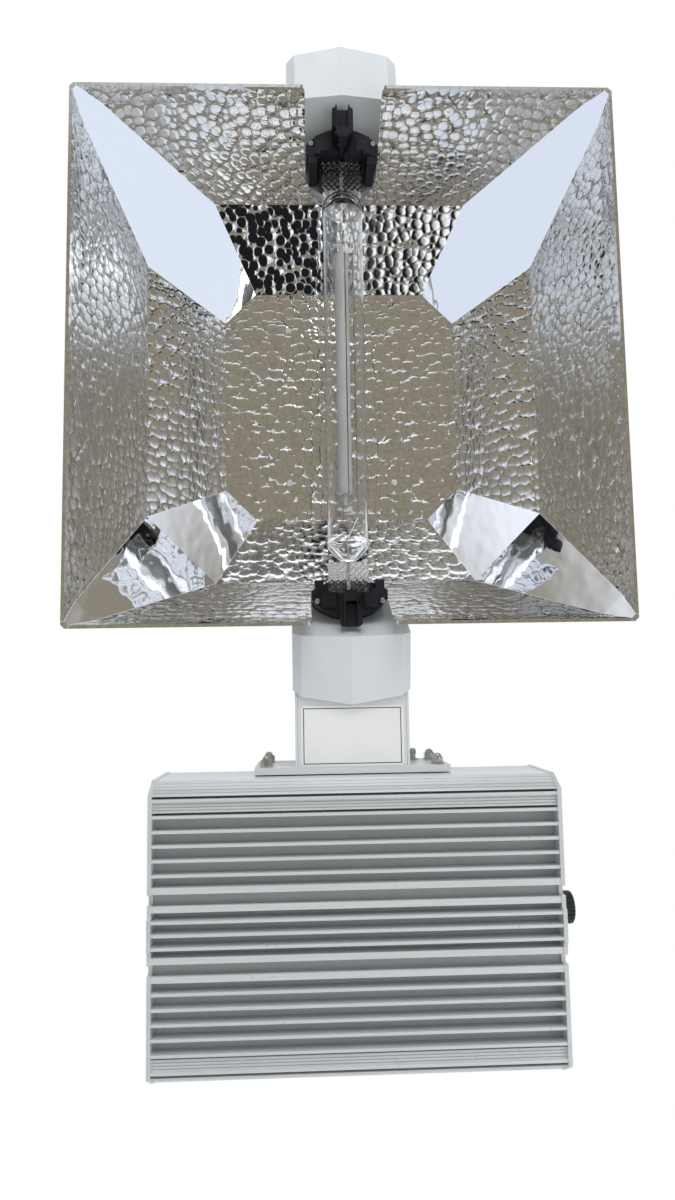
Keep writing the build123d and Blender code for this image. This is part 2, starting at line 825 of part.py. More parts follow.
def bracket_form():
    """The steel bracket that carries the holder from the leg's side walls."""
    with BuildPart() as form:
        with BuildSketch(Plane.XY.offset(bracket_bottom)) as plan:
            with Locations((0, (bracket_front_y + bracket_back_y) / 2)):
                Rectangle(2 * bracket_tongue_half, bracket_back_y - bracket_front_y)
            with Locations((0, (bracket_step_y + bracket_back_y) / 2)):
                Rectangle(2 * bracket_half, bracket_back_y - bracket_step_y)
        extrude(amount=bracket_thickness)
        for sign in (-1, 1):
            with Locations(
                (
                    sign * (bracket_half - bracket_thickness / 2),
                    (bracket_step_y + bracket_back_y) / 2,
                    bracket_bottom + bracket_tab_height / 2,
                )
            ):
                Box(bracket_thickness, bracket_back_y - bracket_step_y, bracket_tab_height)
        with Locations(Location((0, bracket_screw_y, bracket_screw_height), (0, 90, 0))):
            Cylinder(bracket_screw_shank + hole_clearance, 2 * arm_width, mode=Mode.SUBTRACT)
        slot_box(contact_width, tab_y - 4, tab_y + 3, bracket_bottom - 1, tab_top, mode=Mode.SUBTRACT)
        with Locations((0, bracket_mount_y, bracket_bottom)):
            with GridLocations(bracket_mount_x, 0, 2, 1):
                Cylinder(ear_screw_shank + hole_clearance, 10, mode=Mode.SUBTRACT)
    return form.part


holder_forms = {
    "holder_base": holder_base_form,
    "holder_cover": holder_cover_form,
    "lamp_lever": lever_form,
    "lamp_contact": contact_form,
    "holder_bracket": bracket_form,
}
for end_name, turn in end_turns.items():
    for piece_name, form in holder_forms.items():
        with BuildPart() as holder_piece:
            add(form(), rotation=(0, 0, turn))
        holder_piece.part.label = f"{end_name}_{piece_name}"
        export_step(holder_piece.part, f"parts/{end_name}_{piece_name}.step")


# ======== lamp ========
def ring_section(radius_x, radius_z, y):
    """An ellipse square to the lamp's axis."""
    with BuildSketch(Plane.XZ.offset(-y)) as section:
        with Locations((0, lamp_height)):
            Ellipse(radius_x, radius_z)
    return section.sketch


bore_radius = tube_radius - tube_wall
dome_mid = (tube_half + pinch_start) / 2
pinch_half = pinch_width / 2
pinch_neck = pinch_thickness / 2 + 0.7
with BuildPart() as lamp_envelope:
    extrude(ring_section(tube_radius, tube_radius, -tube_half), amount=-2 * tube_half)
    for sign in (-1, 1):
        loft(
            sections=[
                ring_section(tube_radius, tube_radius, sign * tube_half),
                ring_section(pinch_half + 0.3, tube_radius * 0.62, sign * dome_mid),
                ring_section(pinch_half, pinch_neck, sign * pinch_start),
            ]
        )
        with Locations((0, sign * (pinch_start + pinch_end) / 2, lamp_height)):
            Box(pinch_width, pinch_end - pinch_start, pinch_thickness)
    bore_start = ring_section(bore_radius, bore_radius, 4 - tube_half)
    extrude(bore_start, amount=8 - 2 * tube_half, mode=Mode.SUBTRACT)
    for sign in (-1, 1):
        loft(
            sections=[
                ring_section(bore_radius, bore_radius, sign * (tube_half - 4)),
                ring_section(bore_radius * 0.8, bore_radius * 0.5, sign * (dome_mid - 2)),
                ring_section(bore_radius * 0.3, pinch_neck / 3, sign * (pinch_start - 3)),
            ],
            mode=Mode.SUBTRACT,
        )
        for pin_y in (pinch_end - 9, pinch_end):
            with Locations(Location((0, sign * pin_y, lamp_height), (90, 0, 0))):
                Cylinder(pin_radius + 0.05, 9.2, mode=Mode.SUBTRACT)
        with Locations((0, sign * (pinch_start + 6), lamp_height)):
            Box(3.4, 24, 0.4, mode=Mode.SUBTRACT)
lamp_envelope.part.label = "lamp_envelope"
export_step(lamp_envelope.part, "parts/lamp_envelope.step")

plug_length = 4.0
with BuildPart() as arc_tube:
    with Locations(Location((arc_shift, 0, lamp_height), (90, 0, 0))):
        Cylinder(arc_radius, 2 * arc_half)
        Cylinder(arc_radius - arc_wall, 2 * arc_half - 2 * plug_length, mode=Mode.SUBTRACT)
arc_tube.part.label = "arc_tube"
export_step(arc_tube.part, "parts/arc_tube.step")

end_tube_radius = 2.0
end_tube_length = 9.0
with BuildPart() as arc_end_tubes:
    for sign in (-1, 1):
        middle = sign * (arc_half + 0.05 + end_tube_length / 2)
        with Locations(Location((arc_shift, middle, lamp_height), (90, 0, 0))):
            Cylinder(end_tube_radius, end_tube_length)
arc_end_tubes.part.label = "arc_end_tubes"
export_step(arc_end_tubes.part, "parts/arc_end_tubes.step")


def rod(radius, start, end):
    """A straight round rod between two points."""
    start, end = Vector(*start), Vector(*end)
    with Locations(Plane(origin=start, z_dir=end - start)):
        Cylinder(radius, (end - start).length, align=(Align.CENTER, Align.CENTER, Align.MIN))


strap_y = arc_half + end_tube_length - 2.0
foil_inner = pinch_start - 5.5
lead_start = arc_half + end_tube_length + 0.2
getter_radius = 3.6
getter_x = -6.0
getter_y = arc_half + 16.0
getter_z = lamp_height + 4.0
strap_width = 5.0
strap_thickness = 0.8
with BuildPart() as lamp_frame:
    rod(
        frame_wire_radius,
        (frame_wire_x, -strap_y, lamp_height + 5),
        (frame_wire_x, strap_y + 12, lamp_height + 5),
    )
    rod(frame_wire_radius, (frame_wire_x, strap_y + 12, lamp_height + 5), (0, foil_inner - 14, lamp_height))
    rod(frame_wire_radius, (0, foil_inner - 14.5, lamp_height), (0, foil_inner, lamp_height))
    with Locations((frame_wire_x / 2, -strap_y, lamp_height + 5)):
        Box(frame_wire_x + 2, strap_width, strap_thickness)
    rod(frame_wire_radius, (arc_shift, -lead_start, lamp_height), (0, 12 - foil_inner, lamp_height))
    rod(frame_wire_radius, (0, 12.4 - foil_inner, lamp_height), (0, -foil_inner, lamp_height))
    with Locations((getter_x, getter_y, getter_z)):
        Cylinder(getter_radius, 1.0)
        Cylinder(getter_radius - 1.2, 1.0, mode=Mode.SUBTRACT)
    rod(0.5, (getter_x + getter_radius - 0.6, getter_y, getter_z), (frame_wire_x, getter_y, lamp_height + 5))
lamp_frame.part.label = "lamp_frame"
export_step(lamp_frame.part, "parts/lamp_frame.step")

with BuildPart() as lamp_pins:
    for sign in (-1, 1):
        middle = (pinch_end - 13 + pin_end) / 2
        with Locations(Location((0, sign * middle, lamp_height), (90, 0, 0))):
            Cylinder(pin_radius, pin_end - pinch_end + 13)
        with Locations((0, sign * (pinch_start + 5.5), lamp_height)):
            Box(3.0, 16.0, 0.2)
lamp_pins.part.label = "lamp_pins"
export_step(lamp_pins.part, "parts/lamp_pins.step")


# ======== junction between arm and ballast ========
with BuildPart() as flange_plate:
    with BuildSketch(Plane.XZ.offset(-neck_end_y)) as plate_view:
        with Locations((0, (flange_bottom + flange_top) / 2)):
            RectangleRounded(2 * flange_half, flange_top - flange_bottom, flange_round)
        with Locations((0, flange_bottom + flange_round / 2)):
            Rectangle(2 * flange_half, flange_round)
        with Locations(*[(sign * bolt_x, height) for sign in (-1, 1) for height in bolt_heights]):
            Circle(bolt_radius + hole_clearance, mode=Mode.SUBTRACT)
        with Locations((0, wire_hole_height)):
            Circle(wire_hole_radius, mode=Mode.SUBTRACT)
    extrude(amount=-flange_thickness)
flange_plate.part.label = "flange_plate"
export_step(flange_plate.part, "parts/flange_plate.step")

bolt_reach = flange_thickness + ballast_gap + ballast_wall + 3.0
dome_radius = 3.6
with BuildPart() as flange_bolts:
    for sign in (-1, 1):
        for height in bolt_heights:
            with Locations(Location((sign * bolt_x, neck_end_y, height), (90, 0, 0))):
                Cylinder(washer_radius, washer_thickness, align=(Align.CENTER, Align.CENTER, Align.MIN))
                Cylinder(bolt_radius, bolt_reach, align=(Align.CENTER, Align.CENTER, Align.MAX))
            with BuildSketch(Plane.XZ.offset(washer_thickness - neck_end_y)) as hexagon:
                with Locations((sign * bolt_x, height)):
                    RegularPolygon(bolt_flats / 2, 6, major_radius=False)
            extrude(hexagon.sketch, amount=bolt_head_height)
            with Locations((sign * bolt_x, neck_end_y - washer_thickness - bolt_head_height + 0.4, height)):
                Sphere(dome_radius)
flange_bolts.part.label = "flange_bolts"
export_step(flange_bolts.part, "parts/flange_bolts.step")

lug_from_arm = 9.0
lug_x = arm_width / 2 + lug_from_arm
lug_height = 98.0
lug_radius = 4.6
with BuildPart() as earth_lug:
    with Locations(Location((lug_x, neck_end_y, lug_height), (90, 0, 0))):
        Cylinder(lug_radius, 1.0, align=(Align.CENTER, Align.CENTER, Align.MIN))
        Cylinder(2.6, 6.5, align=(Align.CENTER, Align.CENTER, Align.MIN))
    with Locations((lug_x, neck_end_y - 6.5, lug_height)):
        Sphere(3.2)
earth_lug.part.label = "earth_lug"
export_step(earth_lug.part, "parts/earth_lug.step")


# ======== ballast ========
case_plane = Plane(origin=(0, ballast_y, ballast_mid), x_dir=(0, 1, 0), z_dir=(1, 0, 0))
half_height = ballast_height / 2
root = half_height - fin_depth
case_gap = 0.1
inner_half = ballast_half_y - ballast_wall
chamfer_start = half_height - corner_rise
chamfer_foot = ballast_half_y - corner_run
chamfer_grooves = 4


def case_profile(grow_down):
    """Section of the lower half of the case, in Y and Z about the case's centre."""
    with BuildSketch(case_plane.offset(-ballast_length / 2)) as profile:
        with BuildLine():
            Polyline(
                (-ballast_half_y, -case_gap),
                (-ballast_half_y, -chamfer_start),
                (-chamfer_foot, -half_height),
                (-chamfer_foot, -root),
                (chamfer_foot, -root),
                (chamfer_foot, -half_height),
                (ballast_half_y, -chamfer_start),
                (ballast_half_y, -case_gap),
                close=True,
            )
        make_face()
        with BuildLine():
            Polyline(
                (-inner_half, 0),
                (-inner_half, ballast_wall - chamfer_start),
                (ballast_wall - inner_half, ballast_floor - root),
                (inner_half - ballast_wall, ballast_floor - root),
                (inner_half, ballast_wall - chamfer_start),
                (inner_half, 0),
                close=True,
            )
        make_face(mode=Mode.SUBTRACT)
        for offset_y in fin_offsets:
            with Locations((offset_y, -(half_height + root) / 2), (-offset_y, -(half_height + root) / 2)):
                Rectangle(fin_thickness, fin_depth)
        for offset_y in middle_fin_offsets:
            with Locations((offset_y, -(half_height + grow_down + root) / 2)):
                Rectangle(fin_thickness, fin_depth + grow_down)
        for sign in (-1, 1):
            with Locations((sign * (land_outer - land_width / 2), -(half_height + root) / 2 + 1)):
                Rectangle(land_width, fin_depth - 2)
            for step in range(3):
                with Locations((sign * (land_outer - 1.6 - 2.2 * step), 2 - half_height)):
                    Rectangle(groove, 2 * groove, mode=Mode.SUBTRACT)
            for step in range(chamfer_grooves):
                share = (step + 1) / (chamfer_grooves + 1)
                with Locations(
                    (sign * (chamfer_foot + corner_run * share), -half_height + corner_rise * share)
                ):
                    Rectangle(groove, groove, rotation=30, mode=Mode.SUBTRACT)
            with Locations((sign * slot_centre, -(half_height + root) / 2)):
                Rectangle(slot_block, fin_depth)
                Rectangle(slot_inside, slot_inner_depth, mode=Mode.SUBTRACT)
            with Locations((sign * slot_centre, -half_height)):
                Rectangle(slot_opening, fin_depth, mode=Mode.SUBTRACT)
            with Locations((sign * (port_offset[0] + inner_half) / 2, -port_offset[1])):
                Rectangle(inner_half - port_offset[0] + 1, port_radius)
            with Locations((sign * port_offset[0], -port_offset[1])):
                Circle(port_radius)
                Circle(port_bore + hole_clearance, mode=Mode.SUBTRACT)
    return profile.sketch


board_length = 250.0
board_width = 170.0
board_thickness = 1.6
board_lift = 6.0
floor_height = ballast_mid - root + ballast_floor
board_bottom = floor_height + board_lift
board_top = board_bottom + board_thickness
board_y = ballast_y + 4.0
standoff_radius = 3.0
lower_bolt, upper_bolt = bolt_heights
with BuildPart() as ballast_lower_case:
    extrude(case_profile(middle_fin_extra), amount=ballast_length)
    bolt_places = [Location((sign * bolt_x, ballast_front_y, lower_bolt), (90, 0, 0)) for sign in (-1, 1)]
    with Locations(*bolt_places):
        Cylinder(bolt_radius + hole_clearance, 4 * ballast_wall, mode=Mode.SUBTRACT)
    with Locations((0, board_y, floor_height)):
        with GridLocations(board_length - 14, board_width - 14, 2, 2):
            Cylinder(standoff_radius, board_lift, align=(Align.CENTER, Align.CENTER, Align.MIN))
ballast_lower_case.part.label = "ballast_lower_case"
export_step(ballast_lower_case.part, "parts/ballast_lower_case.step")

with BuildPart() as ballast_upper_case:
    upper_profile = mirror(case_profile(0), about=Plane.XY.offset(ballast_mid))
    extrude(upper_profile, amount=ballast_length, dir=(1, 0, 0))
    bolt_places = [Location((sign * bolt_x, ballast_front_y, upper_bolt), (90, 0, 0)) for sign in (-1, 1)]
    with Locations(*bolt_places):
        Cylinder(bolt_radius + hole_clearance, 4 * ballast_wall, mode=Mode.SUBTRACT)
    with Locations(Location((0, ballast_front_y, wire_hole_height), (90, 0, 0))):
        Cylinder(wire_hole_radius, 4 * ballast_wall, mode=Mode.SUBTRACT)
ballast_upper_case.part.label = "ballast_upper_case"
export_step(ballast_upper_case.part, "parts/ballast_upper_case.step")

inlet_y = ballast_y + 40.0
inlet_size = (26.0, 20.0)
jack_y = ballast_y + 52.0
jack_spacing = 18.0
jack_size = (12.0, 11.0)
bump_half = max(middle_fin_offsets) + fin_thickness + 1.0


def end_plate_outline(x):
    """Outline of an end plate: case section with a margin, open at the T-slots."""
    margin = end_plate_margin
    tall = half_height + margin
    low = tall + middle_fin_extra
    edge = ballast_half_y + margin
    with BuildSketch(case_plane.offset(x)) as outline:
        with BuildLine():
            Polyline(
                (-edge, -chamfer_start),
                (-chamfer_foot - margin, -tall),
                (-bump_half, -tall),
                (-bump_half + margin, -low),
                (bump_half - margin, -low),
                (bump_half, -tall),
                (chamfer_foot + margin, -tall),
                (edge, -chamfer_start),
                (edge, chamfer_start),
                (chamfer_foot + margin, tall),
                (-chamfer_foot - margin, tall),
                (-edge, chamfer_start),
                close=True,
            )
        make_face()
        for sign_y in (-1, 1):
            for sign_z in (-1, 1):
                with Locations((sign_y * slot_centre, sign_z * half_height)):
                    Rectangle(slot_opening - 1.2, 2 * slot_lip + 8, mode=Mode.SUBTRACT)
                with Locations((sign_y * port_offset[0], sign_z * port_offset[1])):
                    Circle(port_bore + 2 * hole_clearance, mode=Mode.SUBTRACT)
    return outline.sketch


with BuildPart() as ballast_left_end:
    extrude(end_plate_outline(-ballast_length / 2 - end_plate_thickness), amount=end_plate_thickness)
    with Locations((-ballast_length / 2, inlet_y, ballast_mid)):
        Box(20, inlet_size[0] + 2 * fit_gap, inlet_size[1] + 2 * fit_gap, mode=Mode.SUBTRACT)
ballast_left_end.part.label = "ballast_end_plate_left"
export_step(ballast_left_end.part, "parts/ballast_end_plate_left.step")

jack_places = [(jack_y + jack_spacing * step, ballast_mid) for step in (0, 1)]
with BuildPart() as ballast_right_end:
    extrude(end_plate_outline(ballast_length / 2), amount=end_plate_thickness)
    with Locations(Location((ballast_length / 2, ballast_y, ballast_mid), (0, 90, 0))):
        Cylinder(bushing_radius + hole_clearance, 20, mode=Mode.SUBTRACT)
    for place in jack_places:
        with Locations((ballast_length / 2, *place)):
            Box(20, jack_size[0] + 2 * fit_gap, jack_size[1] + 2 * fit_gap, mode=Mode.SUBTRACT)
ballast_right_end.part.label = "ballast_end_plate_right"
export_step(ballast_right_end.part, "parts/ballast_end_plate_right.step")

case_end = ballast_length / 2 + end_plate_thickness
screw_head = 3.2
screw_head_height = 2.2
screw_reach = 12.0
with BuildPart() as end_plate_screws:
    for sign in (-1, 1):
        for sign_y in (-1, 1):
            for sign_z in (-1, 1):
                place = (
                    sign * case_end,
                    ballast_y + sign_y * port_offset[0],
                    ballast_mid + sign_z * port_offset[1],
                )
                with Locations(Location(place, (0, sign * 90, 0))):
                    Cylinder(screw_head, screw_head_height, align=(Align.CENTER, Align.CENTER, Align.MIN))
                    Cylinder(port_bore, screw_reach, align=(Align.CENTER, Align.CENTER, Align.MAX))
    fillet(end_plate_screws.faces().filter_by(Axis.X).group_by(Axis.X)[-1].edges(), 0.8)
    fillet(end_plate_screws.faces().filter_by(Axis.X).group_by(Axis.X)[0].edges(), 0.8)
end_plate_screws.part.label = "end_plate_screws"
export_step(end_plate_screws.part, "parts/end_plate_screws.step")


# ======== dimmer ========
knob_start = case_end + knob_gap
shaft_end = knob_start + knob_depth - 4.0
switch_depth = 14.0
switch_side = 24.0
bushing_end = case_end + 0.5
shaft_start = ballast_length / 2 - switch_depth - 2.0
flute_count = 18
flute_radius = 1.1
knob_taper = 1.0
with BuildPart() as dimmer_knob:
    with Locations(Location((knob_start, ballast_y, ballast_mid), (0, 90, 0))):
        Cone(
            knob_radius,
            knob_radius - knob_taper,
            knob_depth,
            align=(Align.CENTER, Align.CENTER, Align.MIN),
        )
    fillet(dimmer_knob.faces().sort_by(Axis.X)[-1].edges(), 1.6)
    with Locations(Location((knob_start + 3, ballast_y, ballast_mid), (0, 90, 0))):
        with PolarLocations(knob_radius + 0.2, flute_count):
            Cylinder(
                flute_radius,
                knob_depth,
                align=(Align.CENTER, Align.CENTER, Align.MIN),
                mode=Mode.SUBTRACT,
            )
    with Locations((knob_start + knob_depth, ballast_y, ballast_mid + knob_radius * 0.55)):
        Box(1.4, 1.6, knob_radius * 0.6, mode=Mode.SUBTRACT)
    with Locations(Location((knob_start, ballast_y, ballast_mid), (0, 90, 0))):
        Cylinder(
            shaft_radius,
            shaft_end - knob_start,
            align=(Align.CENTER, Align.CENTER, Align.MIN),
            mode=Mode.SUBTRACT,
        )
dimmer_knob.part.label = "dimmer_knob"
export_step(dimmer_knob.part, "parts/dimmer_knob.step")

with BuildPart() as dimmer_shaft:
    with Locations(Location((shaft_start, ballast_y, ballast_mid), (0, 90, 0))):
        Cylinder(shaft_radius, shaft_end - shaft_start, align=(Align.CENTER, Align.CENTER, Align.MIN))
dimmer_shaft.part.label = "dimmer_shaft"
export_step(dimmer_shaft.part, "parts/dimmer_shaft.step")

with BuildPart() as dimmer_switch:
    with Locations((ballast_length / 2 - switch_depth / 2 - 0.2, ballast_y, ballast_mid)):
        Box(switch_depth, switch_side, switch_side)
    with Locations(Location((ballast_length / 2 - 0.5, ballast_y, ballast_mid), (0, 90, 0))):
        Cylinder(
            bushing_radius,
            bushing_end - ballast_length / 2 + 0.5,
            align=(Align.CENTER, Align.CENTER, Align.MIN),
        )
    with Locations(Location((ballast_length / 2, ballast_y, ballast_mid), (0, 90, 0))):
        Cylinder(shaft_radius + running_gap, 60, mode=Mode.SUBTRACT)
dimmer_switch.part.label = "dimmer_switch"
export_step(dimmer_switch.part, "parts/dimmer_switch.step")

jack_depth = 14.0
with BuildPart() as controller_jacks:
    for place in jack_places:
        with Locations((case_end + 0.6 - jack_depth / 2, *place)):
            Box(jack_depth, *jack_size)
        with Locations((case_end + 0.6 - 4.5, place[0], place[1] + 0.5)):
            Box(9.0, 9.6, 6.6, mode=Mode.SUBTRACT)
        with Locations((case_end + 0.6 - 4.5, place[0], place[1] - 3.4)):
            Box(9.0, 4.0, 2.4, mode=Mode.SUBTRACT)
controller_jacks.part.label = "controller_jacks"
export_step(controller_jacks.part, "parts/controller_jacks.step")

inlet_depth = 22.0
inlet_rim = 2.0
with BuildPart() as mains_inlet:
    with Locations((-case_end - inlet_rim / 2, inlet_y, ballast_mid)):
        Box(inlet_rim, inlet_size[0] + 8, inlet_size[1] + 6)
    fillet(mains_inlet.edges().filter_by(Axis.X), 3.0)
    with Locations((-case_end + inlet_depth / 2 - inlet_rim, inlet_y, ballast_mid)):
        Box(inlet_depth, *inlet_size)
    with Locations((-case_end - inlet_rim + 7, inlet_y, ballast_mid)):
        Box(14, inlet_size[0] - 5, inlet_size[1] - 5, mode=Mode.SUBTRACT)
    with Locations(*[(-case_end + 6, inlet_y + step, ballast_mid) for step in (-6.5, 0, 6.5)]):
        Box(14, 2, 5)
mains_inlet.part.label = "mains_inlet"
export_step(mains_inlet.part, "parts/mains_inlet.step")


# ======== inside the ballast ========
with BuildPart() as ballast_board:
    with Locations((0, board_y, board_bottom + board_thickness / 2)):
        Box(board_length, board_width, board_thickness)
ballast_board.part.label = "ballast_board"
export_step(ballast_board.part, "parts/ballast_board.step")


def on_board(x, y, size):
    """A block that stands on the board, its place measured from the board's centre."""
    with Locations((x, board_y + y, board_top)):
        Box(*size, align=(Align.CENTER, Align.CENTER, Align.MIN))


with BuildPart() as power_choke:
    on_board(-70, -30, (44, 52, 36))
    with Locations((-70, board_y - 30, board_top + 18)):
        Box(30, 60, 28)
power_choke.part.label = "power_choke"
export_step(power_choke.part, "parts/power_choke.step")

with BuildPart() as output_transformer:
    on_board(0, -30, (50, 56, 38))
    with Locations((0, board_y - 30, board_top + 19)):
        Box(34, 66, 28)
output_transformer.part.label = "output_transformer"
export_step(output_transformer.part, "parts/output_transformer.step")

capacitor_radius = 12.0
capacitor_height = 40.0
with BuildPart() as storage_capacitors:
    with Locations((-20, board_y + 52, board_top)):
        with GridLocations(30, 0, 3, 1):
            Cylinder(capacitor_radius, capacitor_height, align=(Align.CENTER, Align.CENTER, Align.MIN))
storage_capacitors.part.label = "storage_capacitors"
export_step(storage_capacitors.part, "parts/storage_capacitors.step")

terminal_size = (56.0, 14.0, 14.0)
terminal_x = 20.0
terminal_y = 10 - board_width / 2
with BuildPart() as terminal_block:
    on_board(terminal_x, terminal_y, terminal_size)
terminal_block.part.label = "terminal_block"
export_step(terminal_block.part, "parts/terminal_block.step")

# ======== lamp leads, all the way inside the arm ========
lead_radius = 1.6
lead_height = spine_bottom + 22.0
lead_drop_y = neck_end_y - 40.0
lead_end_y = board_y + terminal_y - terminal_size[1] / 2 - 0.2
lead_end_height = board_top + terminal_size[2] / 2
lead_shift = 6.0
lead_bend = 30.0
lead_start_height = bracket_bottom + bracket_thickness + lead_radius + 1.0


def lead_form(points):
    """A round lead along straight runs that are joined by arcs."""
    runs = [math.dist(a, b) for a, b in zip(points, points[1:])]
    ways = [Vector(*b) - Vector(*a) for a, b in zip(points, points[1:])]
    turns = [a.get_angle(b) for a, b in zip(ways, ways[1:])]
    bends = [
        min(lead_bend, 0.45 * min(before, after) / math.tan(math.radians(turn / 2)))
        for before, after, turn in zip(runs, runs[1:], turns)
    ]
    with BuildPart() as form:
        with BuildLine() as path:
            FilletPolyline(*points, radius=bends)
        with BuildSketch(path.line ^ 0) as section:
            Circle(lead_radius)
        sweep(section.sketch, path=path.line)
    return form.part


lead_tail = [
    (ballast_front_y + ballast_wall + 8, wire_hole_height),
    (lead_end_y - 14, lead_end_height),
    (lead_end_y, lead_end_height),
]
near_points = [(0, tab_y + 0.2, lead_start_height), (0, bracket_back_y + 6, lead_start_height + 2)]
far_points = [
    (0, -tab_y - 0.2, lead_start_height),
    (0, -leg_foot_y - 12, lead_start_height),
    (0, -leg_foot_y - 12, lead_height),
    (0, slope_start_y - 14, lead_height),
]
near_points += [(lead_shift, lead_drop_y, wire_hole_height)] + [(lead_shift, *place) for place in lead_tail]
far_points += [(-lead_shift, lead_drop_y, wire_hole_height)] + [(-lead_shift, *place) for place in lead_tail]
with BuildPart() as lamp_leads:
    add(lead_form(near_points))
    add(lead_form(far_points))
lamp_leads.part.label = "lamp_leads"
export_step(lamp_leads.part, "parts/lamp_leads.step")


# ======== screws of the lampholders ========
bracket_head = 3.6
bracket_head_height = 2.4
bracket_screw_reach = 7.0
ear_head = 2.2
ear_head_height = 1.6
with BuildPart() as holder_screws:
    for sign_x in (-1, 1):
        for sign_y in (-1, 1):
            side_place = (sign_x * arm_side, sign_y * bracket_screw_y, bracket_screw_height)
            with Locations(Location(side_place, (0, sign_x * 90, 0))):
                Cylinder(
                    bracket_screw_shank,
                    bracket_screw_reach,
                    align=(Align.CENTER, Align.CENTER, Align.MAX),
                )
                Cylinder(bracket_head, bracket_head_height, align=(Align.CENTER, Align.CENTER, Align.MIN))
            with Locations((sign_x * ear_screw_x, sign_y * ear_screw_y, holder_bottom)):
                Cylinder(ear_head, ear_head_height, align=(Align.CENTER, Align.CENTER, Align.MAX))
                Cylinder(
                    ear_screw_shank,
                    ear_screw_reach,
                    align=(Align.CENTER, Align.CENTER, Align.MIN),
                )
            mount_place = (sign_x * bracket_mount_x / 2, sign_y * bracket_mount_y)
            with Locations((*mount_place, bracket_bottom + bracket_thickness)):
                Cylinder(ear_head, ear_head_height, align=(Align.CENTER, Align.CENTER, Align.MIN))
                Cylinder(
                    ear_screw_shank,
                    bracket_thickness + mount_screw_depth,
                    align=(Align.CENTER, Align.CENTER, Align.MAX),
                )
holder_screws.part.label = "holder_screws"
export_step(holder_screws.part, "parts/holder_screws.step")


# ======== hangers ========
hanger_gap = 0.1
hanger_margin = 9.0
spine_hanger_bottom = spine_top + hanger_gap
spine_hanger_length = spine_hanger_holes + 2 * hanger_margin
with BuildPart() as spine_hanger:
    with BuildSketch(Plane.XY.offset(spine_hanger_bottom)) as strip:
        with Locations((0, spine_hanger_y)):
            RectangleRounded(spine_hanger_length, hanger_width, 5)
            with GridLocations(spine_hanger_holes, 0, 2, 1):
                Circle(hanger_hole, mode=Mode.SUBTRACT)
            with GridLocations(spine_hanger_holes / 2, 0, 2, 1):
                Circle(bolt_radius + hole_clearance, mode=Mode.SUBTRACT)
    extrude(amount=hanger_thickness)
spine_hanger.part.label = "spine_hanger"
export_step(spine_hanger.part, "parts/spine_hanger.step")

ballast_hanger_bottom = ballast_top + end_plate_margin + 0.7
ballast_hanger_y = ballast_y + slot_centre
ballast_bolt_spacing = 180.0
spacer_radius = 7.0
with BuildPart() as ballast_hanger:
    with BuildSketch(Plane.XY.offset(ballast_hanger_bottom)) as strip:
        with Locations((0, ballast_hanger_y)):
            RectangleRounded(ballast_hanger_holes + 2 * hanger_margin, hanger_width, 5)
            with GridLocations(ballast_hanger_holes, 0, 2, 1):
                Circle(hanger_hole, mode=Mode.SUBTRACT)
            with GridLocations(ballast_bolt_spacing, 0, 2, 1):
                Circle(bolt_radius + hole_clearance, mode=Mode.SUBTRACT)
    extrude(amount=hanger_thickness)
    with Locations((0, ballast_hanger_y, ballast_top)):
        with GridLocations(ballast_bolt_spacing, 0, 2, 1):
            Cylinder(
                spacer_radius,
                ballast_hanger_bottom - ballast_top,
                align=(Align.CENTER, Align.CENTER, Align.MIN),
            )
            Cylinder(bolt_radius + hole_clearance, 4 * hanger_thickness, mode=Mode.SUBTRACT)
ballast_hanger.part.label = "ballast_hanger"
export_step(ballast_hanger.part, "parts/ballast_hanger.step")

button_radius = 5.2
button_height = 3.0
nut_side = slot_inside - 1.0
nut_thickness = 3.6
slot_roof = ballast_top - (fin_depth - slot_inner_depth) / 2
with BuildPart() as hanger_bolts:
    with Locations((0, spine_hanger_y, spine_hanger_bottom + hanger_thickness)):
        with GridLocations(spine_hanger_holes / 2, 0, 2, 1):
            Cylinder(button_radius, button_height, align=(Align.CENTER, Align.CENTER, Align.MIN))
            Cylinder(bolt_radius, hanger_thickness + 8, align=(Align.CENTER, Align.CENTER, Align.MAX))
    with Locations((0, ballast_hanger_y, ballast_hanger_bottom + hanger_thickness)):
        with GridLocations(ballast_bolt_spacing, 0, 2, 1):
            Cylinder(button_radius, button_height, align=(Align.CENTER, Align.CENTER, Align.MIN))
            Cylinder(
                bolt_radius,
                ballast_hanger_bottom + hanger_thickness - slot_roof + nut_thickness,
                align=(Align.CENTER, Align.CENTER, Align.MAX),
            )
    with Locations((0, ballast_hanger_y, slot_roof - 0.2)):
        with GridLocations(ballast_bolt_spacing, 0, 2, 1):
            Box(nut_side, nut_side, nut_thickness, align=(Align.CENTER, Align.CENTER, Align.MAX))
hanger_bolts.part.label = "hanger_bolts"
export_step(hanger_bolts.part, "parts/hanger_bolts.step")
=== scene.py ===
"""Double-ended grow lamp, dressed for the studio: reflector, arm, lampholders, lamp and finned ballast."""

import json
import math

import bmesh
import bpy
from mathutils import Matrix, Vector


